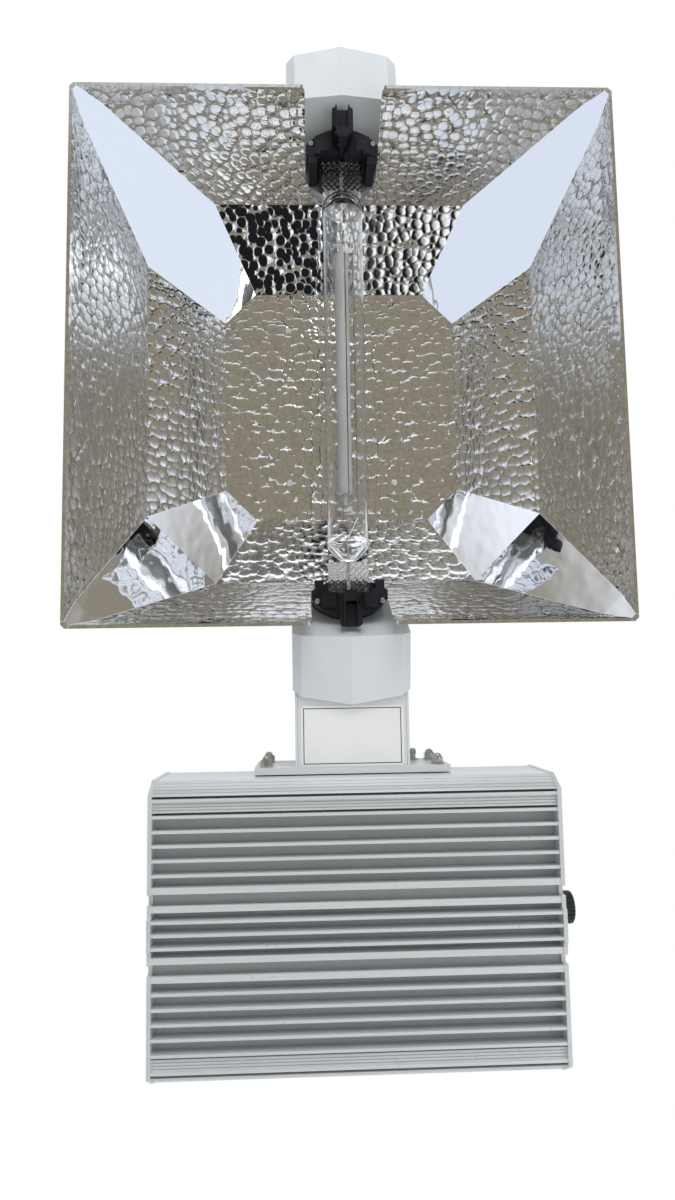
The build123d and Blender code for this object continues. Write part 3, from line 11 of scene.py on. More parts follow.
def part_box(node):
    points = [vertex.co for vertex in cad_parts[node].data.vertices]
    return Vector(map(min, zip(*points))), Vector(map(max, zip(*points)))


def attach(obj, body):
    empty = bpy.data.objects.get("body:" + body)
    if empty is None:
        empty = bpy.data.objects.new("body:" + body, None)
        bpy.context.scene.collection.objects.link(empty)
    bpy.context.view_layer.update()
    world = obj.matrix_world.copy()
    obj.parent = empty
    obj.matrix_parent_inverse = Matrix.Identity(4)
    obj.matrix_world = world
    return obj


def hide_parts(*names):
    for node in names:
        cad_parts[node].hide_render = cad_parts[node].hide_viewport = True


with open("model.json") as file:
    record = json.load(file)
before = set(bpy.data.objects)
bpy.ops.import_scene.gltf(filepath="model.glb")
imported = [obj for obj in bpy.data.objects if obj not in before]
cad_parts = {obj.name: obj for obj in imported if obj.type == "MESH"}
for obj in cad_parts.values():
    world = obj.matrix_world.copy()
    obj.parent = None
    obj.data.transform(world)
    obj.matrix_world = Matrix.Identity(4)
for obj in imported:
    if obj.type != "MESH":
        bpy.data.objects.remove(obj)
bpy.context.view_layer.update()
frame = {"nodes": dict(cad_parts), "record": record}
nodes = frame["nodes"]
MM = 0.001
SMOOTH_UNDER = math.radians(38)


# ======== camera ========
LENS_MM = 25.95
CAMERA_PLACE = (-0.03684, 0.26526, -0.64598)
CAMERA_TURN = (0.103645, 0.038743, 0.012397)  # radians about each axis, after a half turn


def place_camera():
    """The camera looks up into the reflector from below its ballast side."""
    data = bpy.data.cameras.new("camera")
    data.sensor_width = 36.0
    data.lens = LENS_MM
    data.clip_start = 0.02
    camera = bpy.data.objects.new("camera", data)
    bpy.context.scene.collection.objects.link(camera)
    turn = (
        Matrix.Rotation(CAMERA_TURN[0], 4, "X")
        @ Matrix.Rotation(CAMERA_TURN[1], 4, "Y")
        @ Matrix.Rotation(CAMERA_TURN[2], 4, "Z")
        @ Matrix.Rotation(math.pi, 4, "X")
    )
    camera.matrix_world = Matrix.Translation(CAMERA_PLACE) @ turn
    bpy.context.scene.camera = camera


# ======== node trees ========
class Tree:
    """A node tree with short ways to add and join nodes."""

    def __init__(self, tree):
        """Keeps the tree that the nodes go into."""
        self.tree = tree

    def add(self, kind, inputs=None, **settings):
        """A new node with its settings and inputs, which may be numbers or other nodes' outputs."""
        node = self.tree.nodes.new(kind)
        for name, value in settings.items():
            setattr(node, name, value)
        for name, value in (inputs or {}).items():
            self.feed(node.inputs[name], value)
        return node

    def feed(self, socket, value):
        """Joins an output to a socket, or sets the socket's own value."""
        if isinstance(value, bpy.types.NodeSocket):
            self.tree.links.new(value, socket)
        else:
            socket.default_value = value

    def math(self, operation, first, second=0.0):
        """One Math node; gives its output."""
        return self.add("ShaderNodeMath", {0: first, 1: second}, operation=operation).outputs[0]

    def vector(self, operation, first, second=(0.0, 0.0, 0.0)):
        """One Vector Math node; gives its vector, or the number of a dot product."""
        node = self.add("ShaderNodeVectorMath", {0: first, 1: second}, operation=operation)
        return node.outputs["Value" if operation == "DOT_PRODUCT" else "Vector"]

    def blend(self, share, first, second):
        """A mix of two colours."""
        node = self.add("ShaderNodeMix", data_type="RGBA")
        for socket, value in zip([node.inputs[0], node.inputs[6], node.inputs[7]], [share, first, second]):
            self.feed(socket, value)
        return node.outputs[2]

    def ramp(self, value, low, high, start=0.0, end=1.0):
        """A smooth step from start to end, while the value goes from low to high."""
        node = self.add(
            "ShaderNodeMapRange",
            {"Value": value, "From Min": low, "From Max": high, "To Min": start, "To Max": end},
            interpolation_type="SMOOTHSTEP",
        )
        return node.outputs["Result"]


def shader_group(name, inputs, outputs):
    """A shader group with named sockets; gives the group, its tree, its given values and its results."""
    group = bpy.data.node_groups.new(name, "ShaderNodeTree")
    for direction, sockets in (("INPUT", inputs), ("OUTPUT", outputs)):
        for socket_name, kind, *default in sockets:
            kind_name = f"NodeSocket{kind}"
            socket = group.interface.new_socket(socket_name, in_out=direction, socket_type=kind_name)
            if default:
                socket.default_value = default[0]
    tree = Tree(group)
    return group, tree, tree.add("NodeGroupInput").outputs, tree.add("NodeGroupOutput").inputs


def make_pebble_group():
    """Rolled pebbles: flat-topped domes that meet in sharp creases."""
    group, tree, given, result = shader_group(
        "rolled_pebbles",
        [("Position", "Vector"), ("Cells per metre", "Float", 120.0), ("Flatness", "Float", 3.0)],
        [("Height", "Float"), ("Crease", "Float")],
    )
    warp = tree.add("ShaderNodeTexNoise", {"Vector": given["Position"], "Scale": 70.0, "Detail": 1.0})
    shift = tree.vector("SCALE", tree.vector("SUBTRACT", warp.outputs["Color"], (0.5, 0.5, 0.5)))
    shift.node.inputs["Scale"].default_value = 0.0022
    place = tree.vector("ADD", given["Position"], shift)
    cells = tree.add(
        "ShaderNodeTexVoronoi", {"Vector": place, "Scale": given["Cells per metre"], "Randomness": 0.72}
    )
    distance = cells.outputs["Distance"]
    dome = tree.math("POWER", distance, given["Flatness"])
    edges = tree.add(
        "ShaderNodeTexVoronoi",
        {"Vector": place, "Scale": given["Cells per metre"], "Randomness": 0.72},
        feature="DISTANCE_TO_EDGE",
    )
    tree.feed(result["Height"], tree.math("SUBTRACT", 1.0, dome))
    tree.feed(result["Crease"], tree.ramp(edges.outputs["Distance"], 0.0, 0.12, 1.0, 0.0))
    return group


def make_smudge_group():
    """Large soft smudges and small specks, for gloss that isn't the same all over."""
    group, tree, given, result = shader_group(
        "handling_marks",
        [("Position", "Vector"), ("Scale", "Float", 14.0)],
        [("Smudge", "Float"), ("Speck", "Float")],
    )
    broad = tree.add(
        "ShaderNodeTexNoise",
        {
            "Vector": given["Position"],
            "Scale": given["Scale"],
            "Detail": 5.0,
            "Roughness": 0.62,
            "Distortion": 0.4,
        },
    )
    fine = tree.add(
        "ShaderNodeTexNoise",
        {"Vector": given["Position"], "Scale": tree.math("MULTIPLY", given["Scale"], 40.0), "Detail": 3.0},
    )
    tree.feed(result["Smudge"], tree.ramp(broad.outputs["Fac"], 0.36, 0.68))
    tree.feed(result["Speck"], tree.ramp(fine.outputs["Fac"], 0.66, 0.78))
    return group


def make_grain_group():
    """Straight die lines along one direction, given by how much each axis is squeezed."""
    group, tree, given, result = shader_group(
        "drawn_lines",
        [("Position", "Vector"), ("Squeeze", "Vector", (1.0, 60.0, 60.0)), ("Scale", "Float", 30.0)],
        [("Line", "Float")],
    )
    place = tree.vector("MULTIPLY", given["Position"], given["Squeeze"])
    lines = tree.add(
        "ShaderNodeTexNoise",
        {"Vector": place, "Scale": given["Scale"], "Detail": 4.0, "Roughness": 0.7},
    )
    tree.feed(result["Line"], lines.outputs["Fac"])
    return group


groups = {"pebbles": make_pebble_group(), "marks": make_smudge_group(), "lines": make_grain_group()}


class Finish(Tree):
    """A material with a Principled BSDF and the object's own coordinates at hand."""

    def __init__(self, name, color, roughness, metallic=0.0, **sockets):
        """A new material with these values on its shader's own sockets."""
        self.material = bpy.data.materials.new(name)
        self.material.use_nodes = True
        super().__init__(self.material.node_tree)
        self.bsdf = self.tree.nodes["Principled BSDF"]
        self.position = self.add("ShaderNodeTexCoord").outputs["Object"]
        self.set("Base Color", (*color, 1.0))
        self.set("Roughness", roughness)
        self.set("Metallic", metallic)
        for socket, value in sockets.items():
            self.set(socket.replace("_", " "), value)

    def set(self, socket, value):
        """Sets or joins one socket of the shader."""
        self.feed(self.bsdf.inputs[socket], value)

    def use(self, group, **inputs):
        """Places a shared shader group on this material's coordinates; gives its outputs."""
        node = self.add("ShaderNodeGroup", node_tree=groups[group])
        self.feed(node.inputs["Position"], self.position)
        for name, value in inputs.items():
            self.feed(node.inputs[name.replace("_", " ")], value)
        return node.outputs

    def bump(self, height, distance, strength=1.0, under=None):
        """A bumped normal, on top of another one if it is given."""
        node = self.add("ShaderNodeBump", {"Height": height, "Distance": distance, "Strength": strength})
        if under is not None:
            self.feed(node.inputs["Normal"], under)
        return node.outputs["Normal"]

    def smudge(self, marks, clean, marked):
        """Base colour from clean to marked, by the smudges."""
        self.set("Base Color", self.blend(marks["Smudge"], clean, marked))

    def noise(self, scale, detail=2.0):
        """Plain noise on the object's coordinates."""
        node = self.add(
            "ShaderNodeTexNoise",
            {"Vector": self.position, "Scale": scale, "Detail": detail, "Roughness": 0.5},
        )
        return node.outputs["Fac"]


# ======== finishes ========
def pebbled_aluminium():
    """Bright sheet with rolled pebbles, which fade out close to the rim, and painted shade in the creases
    between them.
    """
    finish = Finish("pebbled_aluminium", (0.90, 0.90, 0.89), 0.06, metallic=1.0)
    pebbles = finish.use("pebbles", Cells_per_metre=118.0, Flatness=4.2)
    marks = finish.use("marks", Scale=9.0)
    # Painted shade: the base colour darkens along the creases between the pebbles.
    tint = finish.blend(pebbles["Crease"], (0.91, 0.91, 0.90, 1.0), (0.78, 0.77, 0.75, 1.0))
    finish.set("Base Color", tint)
    finish.set("Roughness", finish.ramp(marks["Smudge"], 0.0, 1.0, 0.045, 0.11))
    height = finish.add("ShaderNodeSeparateXYZ", {"Vector": finish.position}).outputs["Z"]
    finish.set("Normal", finish.bump(pebbles["Height"], 0.0019, finish.ramp(height, 0.0012, 0.004)))
    return finish.material


def mirror_aluminium():
    """Smooth bright sheet, a little wavy and smudged."""
    finish = Finish("mirror_aluminium", (0.92, 0.93, 0.94), 0.03, metallic=1.0)
    marks = finish.use("marks", Scale=11.0)
    finish.set("Base Color", finish.blend(marks["Speck"], (0.92, 0.93, 0.94, 1.0), (0.80, 0.80, 0.80, 1.0)))
    finish.set("Roughness", finish.ramp(marks["Smudge"], 0.0, 1.0, 0.02, 0.06))
    long_warp = finish.use("lines", Squeeze=(1.0, 0.6, 0.35), Scale=9.0)
    finish.set("Normal", finish.bump(long_warp["Line"], 0.0011))
    return finish.material


def powder_coat():
    """Satin powder coat with a fine orange peel."""
    finish = Finish("powder_coat", (0.70, 0.725, 0.74), 0.38, Coat_Weight=0.15, Coat_Roughness=0.2)
    marks = finish.use("marks", Scale=8.0)
    tint = finish.blend(marks["Smudge"], (0.72, 0.745, 0.76, 1.0), (0.66, 0.69, 0.71, 1.0))
    finish.set("Base Color", tint)
    finish.set("Roughness", finish.ramp(marks["Smudge"], 0.0, 1.0, 0.32, 0.44))
    finish.set("Normal", finish.bump(finish.noise(1400.0, 2.0), 0.00012, 0.6))
    return finish.material


def anodised_extrusion():
    """Drawn and anodised aluminium, with painted shade darkening the troughs between the fins."""
    finish = Finish("anodised_extrusion", (0.86, 0.89, 0.90), 0.40, metallic=0.35)
    marks = finish.use("marks", Scale=7.0)
    lines = finish.use("lines", Squeeze=(0.6, 60.0, 60.0), Scale=26.0)
    drawn = finish.ramp(lines["Line"], 0.3, 0.7)
    tint = finish.blend(drawn, (0.76, 0.80, 0.81, 1.0), (0.86, 0.895, 0.905, 1.0))
    low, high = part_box("ballast_lower_case")
    middle = (0.0, (low.y + high.y) / 2, high.z)
    from_middle = finish.vector("SUBTRACT", finish.position, middle)
    axes = finish.add("ShaderNodeSeparateXYZ", {"Vector": from_middle})
    depth = finish.math("ABSOLUTE", axes.outputs["Z"])
    aside = finish.math("ABSOLUTE", axes.outputs["Y"])
    half = high.z - low.z
    fin_root, fin_tip = half - 0.0125, half - 0.0015
    fins_end, sides_start = 0.100, 0.104
    # Painted shade: the base colour darkens down in the troughs between the fins, where the fins shade each
    # other.
    fin_trough_shade = finish.math(
        "MULTIPLY",
        finish.ramp(depth, fin_root, fin_tip, 1.0, 0.0),
        finish.ramp(aside, fins_end, sides_start, 1.0, 0.0),
    )
    fin_shaded_tint = finish.blend(finish.math("MULTIPLY", fin_trough_shade, 0.75), tint, (0.42, 0.45, 0.455, 1.0))
    finish.set("Base Color", finish.blend(marks["Speck"], fin_shaded_tint, (0.62, 0.64, 0.65, 1.0)))
    finish.set("Roughness", finish.ramp(lines["Line"], 0.3, 0.7, 0.30, 0.44))
    finish.set("Normal", finish.bump(lines["Line"], 0.00010, 0.5))
    return finish.material


def anodised_plate():
    """Brushed and anodised end plates."""
    finish = Finish("anodised_plate", (0.80, 0.83, 0.84), 0.36, metallic=0.4)
    marks = finish.use("marks", Scale=16.0)
    lines = finish.use("lines", Squeeze=(60.0, 1.0, 60.0), Scale=18.0)
    finish.smudge(marks, (0.82, 0.85, 0.86, 1.0), (0.75, 0.775, 0.785, 1.0))
    finish.set("Roughness", finish.ramp(lines["Line"], 0.3, 0.7, 0.28, 0.42))
    finish.set("Normal", finish.bump(lines["Line"], 0.00008, 0.5))
    return finish.material


def zinc_plate():
    """Zinc plated steel with stains."""
    finish = Finish("zinc_plate", (0.66, 0.66, 0.64), 0.28, metallic=1.0)
    marks = finish.use("marks", Scale=60.0)
    finish.smudge(marks, (0.70, 0.70, 0.68, 1.0), (0.56, 0.55, 0.52, 1.0))
    finish.set("Roughness", finish.ramp(marks["Smudge"], 0.0, 1.0, 0.2, 0.42))
    finish.set("Normal", finish.bump(finish.noise(900.0, 2.0), 0.00008, 0.6))
    return finish.material


def black_moulding():
    """Heat resistant black moulding of the lampholders."""
    finish = Finish("black_moulding", (0.010, 0.012, 0.016), 0.42, Specular_IOR_Level=0.35)
    marks = finish.use("marks", Scale=30.0)
    finish.smudge(marks, (0.006, 0.007, 0.010, 1.0), (0.016, 0.019, 0.026, 1.0))
    finish.set("Roughness", finish.ramp(marks["Smudge"], 0.0, 1.0, 0.34, 0.5))
    finish.set("Normal", finish.bump(finish.noise(1800.0, 2.0), 0.00010, 0.5))
    return finish.material


def knob_plastic():
    """Black plastic of the knob, its switch, the jacks, the inlet and the terminal block."""
    finish = Finish("knob_plastic", (0.014, 0.014, 0.015), 0.3)
    marks = finish.use("marks", Scale=40.0)
    finish.smudge(marks, (0.012, 0.012, 0.013, 1.0), (0.028, 0.028, 0.030, 1.0))
    finish.set("Roughness", finish.ramp(marks["Smudge"], 0.0, 1.0, 0.24, 0.38))
    finish.set("Normal", finish.bump(finish.noise(2200.0, 2.0), 0.00006, 0.5))
    return finish.material


def quartz():
    """Clear quartz with long draw marks, and pressed squares over the pinch seals."""
    finish = Finish(
        "quartz", (0.985, 0.99, 0.995), 0.015, Transmission_Weight=1.0, IOR=1.46, Specular_IOR_Level=0.5
    )
    lines = finish.use("lines", Squeeze=(30.0, 1.0, 30.0), Scale=8.0)
    smooth = finish.bump(lines["Line"], 0.00012, 0.5)
    axes = finish.add("ShaderNodeSeparateXYZ", {"Vector": finish.position}).outputs
    waves_per_metre = 1250.0  # in radians
    squares = finish.math(
        "MULTIPLY",
        finish.math("SINE", finish.math("MULTIPLY", axes["X"], waves_per_metre)),
        finish.math("SINE", finish.math("MULTIPLY", axes["Y"], waves_per_metre)),
    )
    seal_start, seal_full = 0.160, 0.1625
    pressed = finish.ramp(finish.math("ABSOLUTE", axes["Y"]), seal_start, seal_full)
    finish.set("Normal", finish.bump(squares, 0.0006, pressed, smooth))
    return finish.material


def arc_ceramic():
    """White sintered ceramic with one dark seam along it."""
    finish = Finish("arc_ceramic", (0.80, 0.79, 0.77), 0.32, Subsurface_Weight=0.1)
    finish.bsdf.inputs["Subsurface Scale"].default_value = 0.002
    marks = finish.use("marks", Scale=26.0)
    white = finish.blend(marks["Smudge"], (0.83, 0.82, 0.80, 1.0), (0.74, 0.725, 0.70, 1.0))
    across = finish.add("ShaderNodeSeparateXYZ", {"Vector": finish.position}).outputs["X"]
    seam_at = 0.0012
    from_seam = finish.math("ABSOLUTE", finish.math("SUBTRACT", across, seam_at))
    seam = finish.ramp(from_seam, 0.0003, 0.0006, 1.0, 0.0)
    finish.set("Base Color", finish.blend(seam, white, (0.10, 0.09, 0.085, 1.0)))
    finish.set("Normal", finish.bump(finish.noise(700.0, 2.0), 0.00006, 0.6))
    return finish.material


def bright_wire():
    """Bright metal of the lamp's frame and pins."""
    finish = Finish("bright_wire", (0.62, 0.61, 0.60), 0.25, metallic=1.0)
    marks = finish.use("marks", Scale=80.0)
    finish.smudge(marks, (0.66, 0.65, 0.64, 1.0), (0.50, 0.48, 0.46, 1.0))
    return finish.material


def plated_contact():
    """Plated brass of the lampholders' contacts."""
    finish = Finish("plated_contact", (0.75, 0.62, 0.38), 0.3, metallic=1.0)
    marks = finish.use("marks", Scale=70.0)
    finish.smudge(marks, (0.78, 0.66, 0.42, 1.0), (0.62, 0.50, 0.30, 1.0))
    return finish.material


def label_film():
    """White blank film with a thin border."""
    finish = Finish("label_film", (0.86, 0.86, 0.85), 0.35, Coat_Weight=0.3, Coat_Roughness=0.15)
    marks = finish.use("marks", Scale=20.0)
    white = finish.blend(marks["Smudge"], (0.88, 0.88, 0.87, 1.0), (0.84, 0.84, 0.83, 1.0))
    low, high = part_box("blank_label")
    inward = finish.vector("SUBTRACT", finish.position, tuple((low + high) / 2))
    axes = finish.add("ShaderNodeSeparateXYZ", {"Vector": inward}).outputs
    to_side = finish.math("SUBTRACT", (high.x - low.x) / 2, finish.math("ABSOLUTE", axes["X"]))
    to_end = finish.math("SUBTRACT", (high.y - low.y) / 2, finish.math("ABSOLUTE", axes["Y"]))
    to_edge = finish.math("MINIMUM", to_side, to_end)
    line_at = 0.0022
    from_line = finish.math("ABSOLUTE", finish.math("SUBTRACT", to_edge, line_at))
    border = finish.ramp(from_line, 0.00028, 0.00045, 1.0, 0.0)
    finish.set("Base Color", finish.blend(border, white, (0.05, 0.05, 0.055, 1.0)))
    finish.set("Normal", finish.bump(finish.noise(60.0, 1.0), 0.0002, 0.5))
    return finish.material


def board_green():
    """Green board."""
    finish = Finish("board_green", (0.03, 0.16, 0.07), 0.35)
    marks = finish.use("marks", Scale=50.0)
    finish.smudge(marks, (0.03, 0.17, 0.08, 1.0), (0.02, 0.11, 0.05, 1.0))
    return finish.material


def varnished_core():
    """Varnished sheets of the choke and the transformer."""
    finish = Finish("varnished_core", (0.05, 0.035, 0.02), 0.3)
    lines = finish.use("lines", Squeeze=(1.0, 1.0, 90.0), Scale=20.0)
    finish.set("Base Color", finish.blend(lines["Line"], (0.03, 0.02, 0.015, 1.0), (0.11, 0.07, 0.035, 1.0)))
    return finish.material


def can_sleeve():
    """Dark blue sleeve of the capacitors."""
    finish = Finish("can_sleeve", (0.02, 0.03, 0.09), 0.25)
    marks = finish.use("marks", Scale=50.0)
    finish.smudge(marks, (0.02, 0.03, 0.10, 1.0), (0.03, 0.04, 0.13, 1.0))
    return finish.material


def silicone_sleeve():
    """Soft pale sleeve of the lamp's leads."""
    finish = Finish("silicone_sleeve", (0.80, 0.77, 0.70), 0.55)
    marks = finish.use("marks", Scale=50.0)
    finish.smudge(marks, (0.82, 0.79, 0.72, 1.0), (0.74, 0.71, 0.64, 1.0))
    return finish.material


finish_of_slot = {
    "hammered_aluminium": pebbled_aluminium(),
    "mirror_aluminium": mirror_aluminium(),
    "white_paint": powder_coat(),
    "anodised": anodised_extrusion(),
    "zinc_steel": zinc_plate(),
    "black_moulding": black_moulding(),
    "black_plastic": knob_plastic(),
    "quartz": quartz(),
    "ceramic": arc_ceramic(),
    "molybdenum": bright_wire(),
    "brass_contact": plated_contact(),
    "label": label_film(),
    "circuit_board": board_green(),
    "iron_core": varnished_core(),
    "sleeve": can_sleeve(),
    "lead_sleeve": silicone_sleeve(),
}
plate_finish = anodised_plate()


def give(piece, finish):
    """Puts one finish on a piece."""
    piece.data.materials.clear()
    piece.data.materials.append(finish)


def dress_nodes():
    """Gives every CAD node the finish of its slot; the ballast's end plates have their own."""
    for entry in frame["record"]["subparts"]:
        node = nodes[entry["node"]]
        finish = finish_of_slot[entry["material_slot"]]
        if entry["node"].startswith("ballast_end_plate"):
            finish = plate_finish
        for slot in node.material_slots:
            slot.material = finish


# ======== turned and formed details ========
def ring_mesh(name, rings, segments=48, close_end=True):
    """A mesh from rings; each ring is a height and a radius, or the radius at every angle."""
    form = bmesh.new()
    loops = []
    for height, radius in rings:
        loop = []
        for step in range(segments):
            angle = 2 * math.pi * step / segments
            reach = radius(angle) if callable(radius) else radius
            loop.append(form.verts.new((reach * math.cos(angle), reach * math.sin(angle), height)))
        loops.append(loop)
    for low, high in zip(loops, loops[1:]):
        for step in range(segments):
            after = (step + 1) % segments
            form.faces.new((low[step], low[after], high[after], high[step]))
    form.faces.new(list(reversed(loops[0])))
    if close_end:
        form.faces.new(loops[-1])
    bmesh.ops.scale(form, vec=(MM, MM, MM), verts=form.verts)
    mesh = bpy.data.meshes.new(name)
    form.to_mesh(mesh)
    form.free()
    mesh.shade_smooth()
    mesh.set_sharp_from_angle(angle=SMOOTH_UNDER)
    return bpy.data.objects.new(name, mesh)


def joined(name, parts):
    """One mesh object from several mesh objects that are used nowhere else."""
    form = bmesh.new()
    for part in parts:
        form.from_mesh(part.data)
    mesh = bpy.data.meshes.new(name)
    form.to_mesh(mesh)
    form.free()
    mesh.shade_smooth()
    mesh.set_sharp_from_angle(angle=SMOOTH_UNDER)
    return bpy.data.objects.new(name, mesh)


THREAD_PITCH = 0.7
THREAD_ROOT = 0.90  # share of the shank's radius
PLAIN_NECK = 0.3


def threaded(radius, length):
    """Rings of a screw's shank, with a groove at every turn."""
    rings = []
    height = -length
    while height < -PLAIN_NECK:
        rings += [(height, radius * THREAD_ROOT), (height + THREAD_PITCH * 0.5, radius)]
        height += THREAD_PITCH
    return rings + [(0.0, radius)]


# A pan head's flat cap and its cross, as shares of the head's radius, the cap's radius or the height.
CAP_SHARE = 0.64
CROWN = 0.05
CROSS_HALF = 0.17
CROSS_REACH = 0.62
CROSS_DEPTH = 0.62
CAP_STEPS = 28  # faces along each side of the cap


def cross_head(name, radius, height, reach):
    """A pan head with a cross recess on a threaded shank; the head's seat is at zero."""
    rings = threaded(radius * 0.45, reach)
    rings += [(0.0, radius), (height * 0.45, radius), (height * 0.72, radius * 0.94)]
    rings += [(height * 0.9, radius * 0.80), (height, radius * CAP_SHARE)]
    form = ring_mesh(name, rings, close_end=False)
    cap = bmesh.new()
    across = radius * CAP_SHARE * MM
    grid = [[None] * (CAP_STEPS + 1) for _ in range(CAP_STEPS + 1)]
    for i in range(CAP_STEPS + 1):
        for j in range(CAP_STEPS + 1):
            u = 2 * i / CAP_STEPS - 1
            v = 2 * j / CAP_STEPS - 1
            x = u * math.sqrt(1 - v * v / 2)
            y = v * math.sqrt(1 - u * u / 2)
            in_arm = abs(x) < CROSS_HALF or abs(y) < CROSS_HALF
            sunk = CROSS_DEPTH if in_arm and max(abs(x), abs(y)) < CROSS_REACH else 0.0
            crowned = height + CROWN * height * (1 - x * x - y * y)
            grid[i][j] = cap.verts.new((x * across, y * across, (crowned - height * sunk) * MM))
    for i in range(CAP_STEPS):
        for j in range(CAP_STEPS):
            cap.faces.new((grid[i][j], grid[i + 1][j], grid[i + 1][j + 1], grid[i][j + 1]))
    mesh = bpy.data.meshes.new(name + "_cap")
    cap.to_mesh(mesh)
    cap.free()
    return joined(name, [form, bpy.data.objects.new(name + "_cap", mesh)])


def six_sided(flats, corner_limit):
    """Radius of a hexagon at an angle, with its corners turned off at a limit."""

    def reach(angle):
        """Radius at an angle."""
        apart = (angle % (math.pi / 3)) - math.pi / 6
        return min(flats / 2 / math.cos(apart), corner_limit)

    return reach


def cap_nut_bolt(name, washer, washer_thickness, flats, nut_height, dome, shank, reach):
    """A washer, a hexagon nut with turned corners and its dome, on a threaded shank."""
    disc = ring_mesh(
        name + "_washer",
        [
            (0.0, washer - 0.15),
            (0.15, washer),
            (washer_thickness - 0.15, washer),
            (washer_thickness, washer - 0.2),
        ],
    )
    base = washer_thickness
    corner = flats / 2 / math.cos(math.pi / 6)
    nut = ring_mesh(
        name + "_nut",
        [
            (base, six_sided(flats, corner * 0.93)),
            (base + 0.45, six_sided(flats, corner)),
            (base + nut_height - 0.7, six_sided(flats, corner)),
            (base + nut_height - 0.1, six_sided(flats, corner * 0.88)),
        ],
        segments=72,
    )
    centre = base + nut_height - 0.4
    angles = [step * math.pi / 22 for step in range(11)]
    turns = [(centre + dome * math.sin(angle), dome * math.cos(angle)) for angle in angles]
    crown = ring_mesh(name + "_dome", [(base + nut_height - 0.9, dome)] + turns)
    stud = ring_mesh(name + "_stud", threaded(shank, reach))
    return joined(name, [disc, nut, crown, stud])


def knurled_head(name, radius, height, shank, reach):
    """A thumb screw's head with fine teeth around it, on a threaded shank."""
    teeth = 30
    tooth_depth = 0.035

    def toothed(angle):
        """Radius of the toothed rim at an angle."""
        return radius * (1 - tooth_depth * (1 + math.cos(teeth * angle)))

    rings = threaded(shank, reach) + [
        (0.0, radius * 0.86),
        (0.6, toothed),
        (height - 0.6, toothed),
        (height, radius * 0.84),
        (height, radius * 0.45),
        (height * 0.88, radius * 0.40),
    ]
    return ring_mesh(name, rings, segments=180)


def rivet_head(name, radius, height, shank, reach):
    """A domed rivet with the mark of its drawn mandrel."""
    rings = [(-reach, shank), (0.0, shank), (0.0, radius)]
    for step in range(1, 7):
        angle = step * math.pi / 18
        rings.append((height * math.sin(angle), radius * math.cos(angle) * 0.98))
    rings += [(height * 0.95, radius * 0.30), (height * 0.70, radius * 0.27)]
    return ring_mesh(name, rings)


# ======== setting out with geometry nodes ========
def make_setting_group():
    """Puts one head on each given place, aimed along its own direction and turned at random."""
    group = bpy.data.node_groups.new("set_out_heads", "GeometryNodeTree")
    sockets = {}
    for name, kind, default in (
        ("Places", "Geometry", None),
        ("Head", "Object", None),
        ("Finish", "Material", None),
        ("Turn", "Float", math.pi),
        ("Seed", "Int", 4),
    ):
        socket = group.interface.new_socket(name, in_out="INPUT", socket_type=f"NodeSocket{kind}")
        if default is not None:
            socket.default_value = default
        sockets[name] = socket.identifier
    group.interface.new_socket("Heads", in_out="OUTPUT", socket_type="NodeSocketGeometry")
    tree = Tree(group)
    given = tree.add("NodeGroupInput").outputs
    head = tree.add("GeometryNodeObjectInfo", {"Object": given["Head"]})
    aim = tree.add("GeometryNodeInputNamedAttribute", {"Name": "aim"}, data_type="FLOAT_VECTOR")
    faced = tree.add("FunctionNodeAlignRotationToVector", {"Vector": aim.outputs["Attribute"]}, axis="Z")
    chance = tree.add("FunctionNodeRandomValue", {"Seed": given["Seed"]}, data_type="FLOAT")
    spin = tree.math("MULTIPLY", [s for s in chance.outputs if s.enabled][0], given["Turn"])
    turn = tree.add("FunctionNodeAxisAngleToRotation", {"Axis": (0.0, 0.0, 1.0), "Angle": spin})
    both = tree.add(
        "FunctionNodeRotateRotation",
        {"Rotation": faced.outputs[0], "Rotate By": turn.outputs[0]},
        rotation_space="LOCAL",
    )
    placed = tree.add(
        "GeometryNodeInstanceOnPoints",
        {"Points": given["Places"], "Instance": head.outputs["Geometry"], "Rotation": both.outputs[0]},
    )
    real = tree.add("GeometryNodeRealizeInstances", {"Geometry": placed.outputs[0]})
    painted = tree.add("GeometryNodeSetMaterial", {"Geometry": real.outputs[0], "Material": given["Finish"]})
    result = tree.add("NodeGroupOutput").inputs
    tree.feed(result["Heads"], painted.outputs[0])
    return group, sockets


setting_group, setting_sockets = make_setting_group()


def bake(piece):
    """Keeps what the modifiers make of the mesh, and drops the modifiers."""
    bpy.context.view_layer.update()
    made = bpy.data.meshes.new_from_object(piece.evaluated_get(bpy.context.evaluated_depsgraph_get()))
    piece.modifiers.clear()
    piece.data = made


def set_out(name, head, places, finish, seed=4):
    """A piece with the head at every place; each place is a point and a direction."""
    mesh = bpy.data.meshes.new(name)
    mesh.from_pydata([tuple(point) for point, way in places], [], [])
    aims = mesh.attributes.new("aim", "FLOAT_VECTOR", "POINT")
    for step, (point, way) in enumerate(places):
        aims.data[step].vector = way
    piece = bpy.data.objects.new(name, mesh)
    bpy.context.scene.collection.objects.link(piece)
    bpy.context.scene.collection.objects.link(head)
    modifier = piece.modifiers.new("setting", "NODES")
    modifier.node_group = setting_group
    for socket, value in (("Head", head), ("Finish", finish), ("Turn", math.pi), ("Seed", seed)):
        modifier[setting_sockets[socket]] = value
    bake(piece)
    bpy.data.objects.remove(head)
    return piece


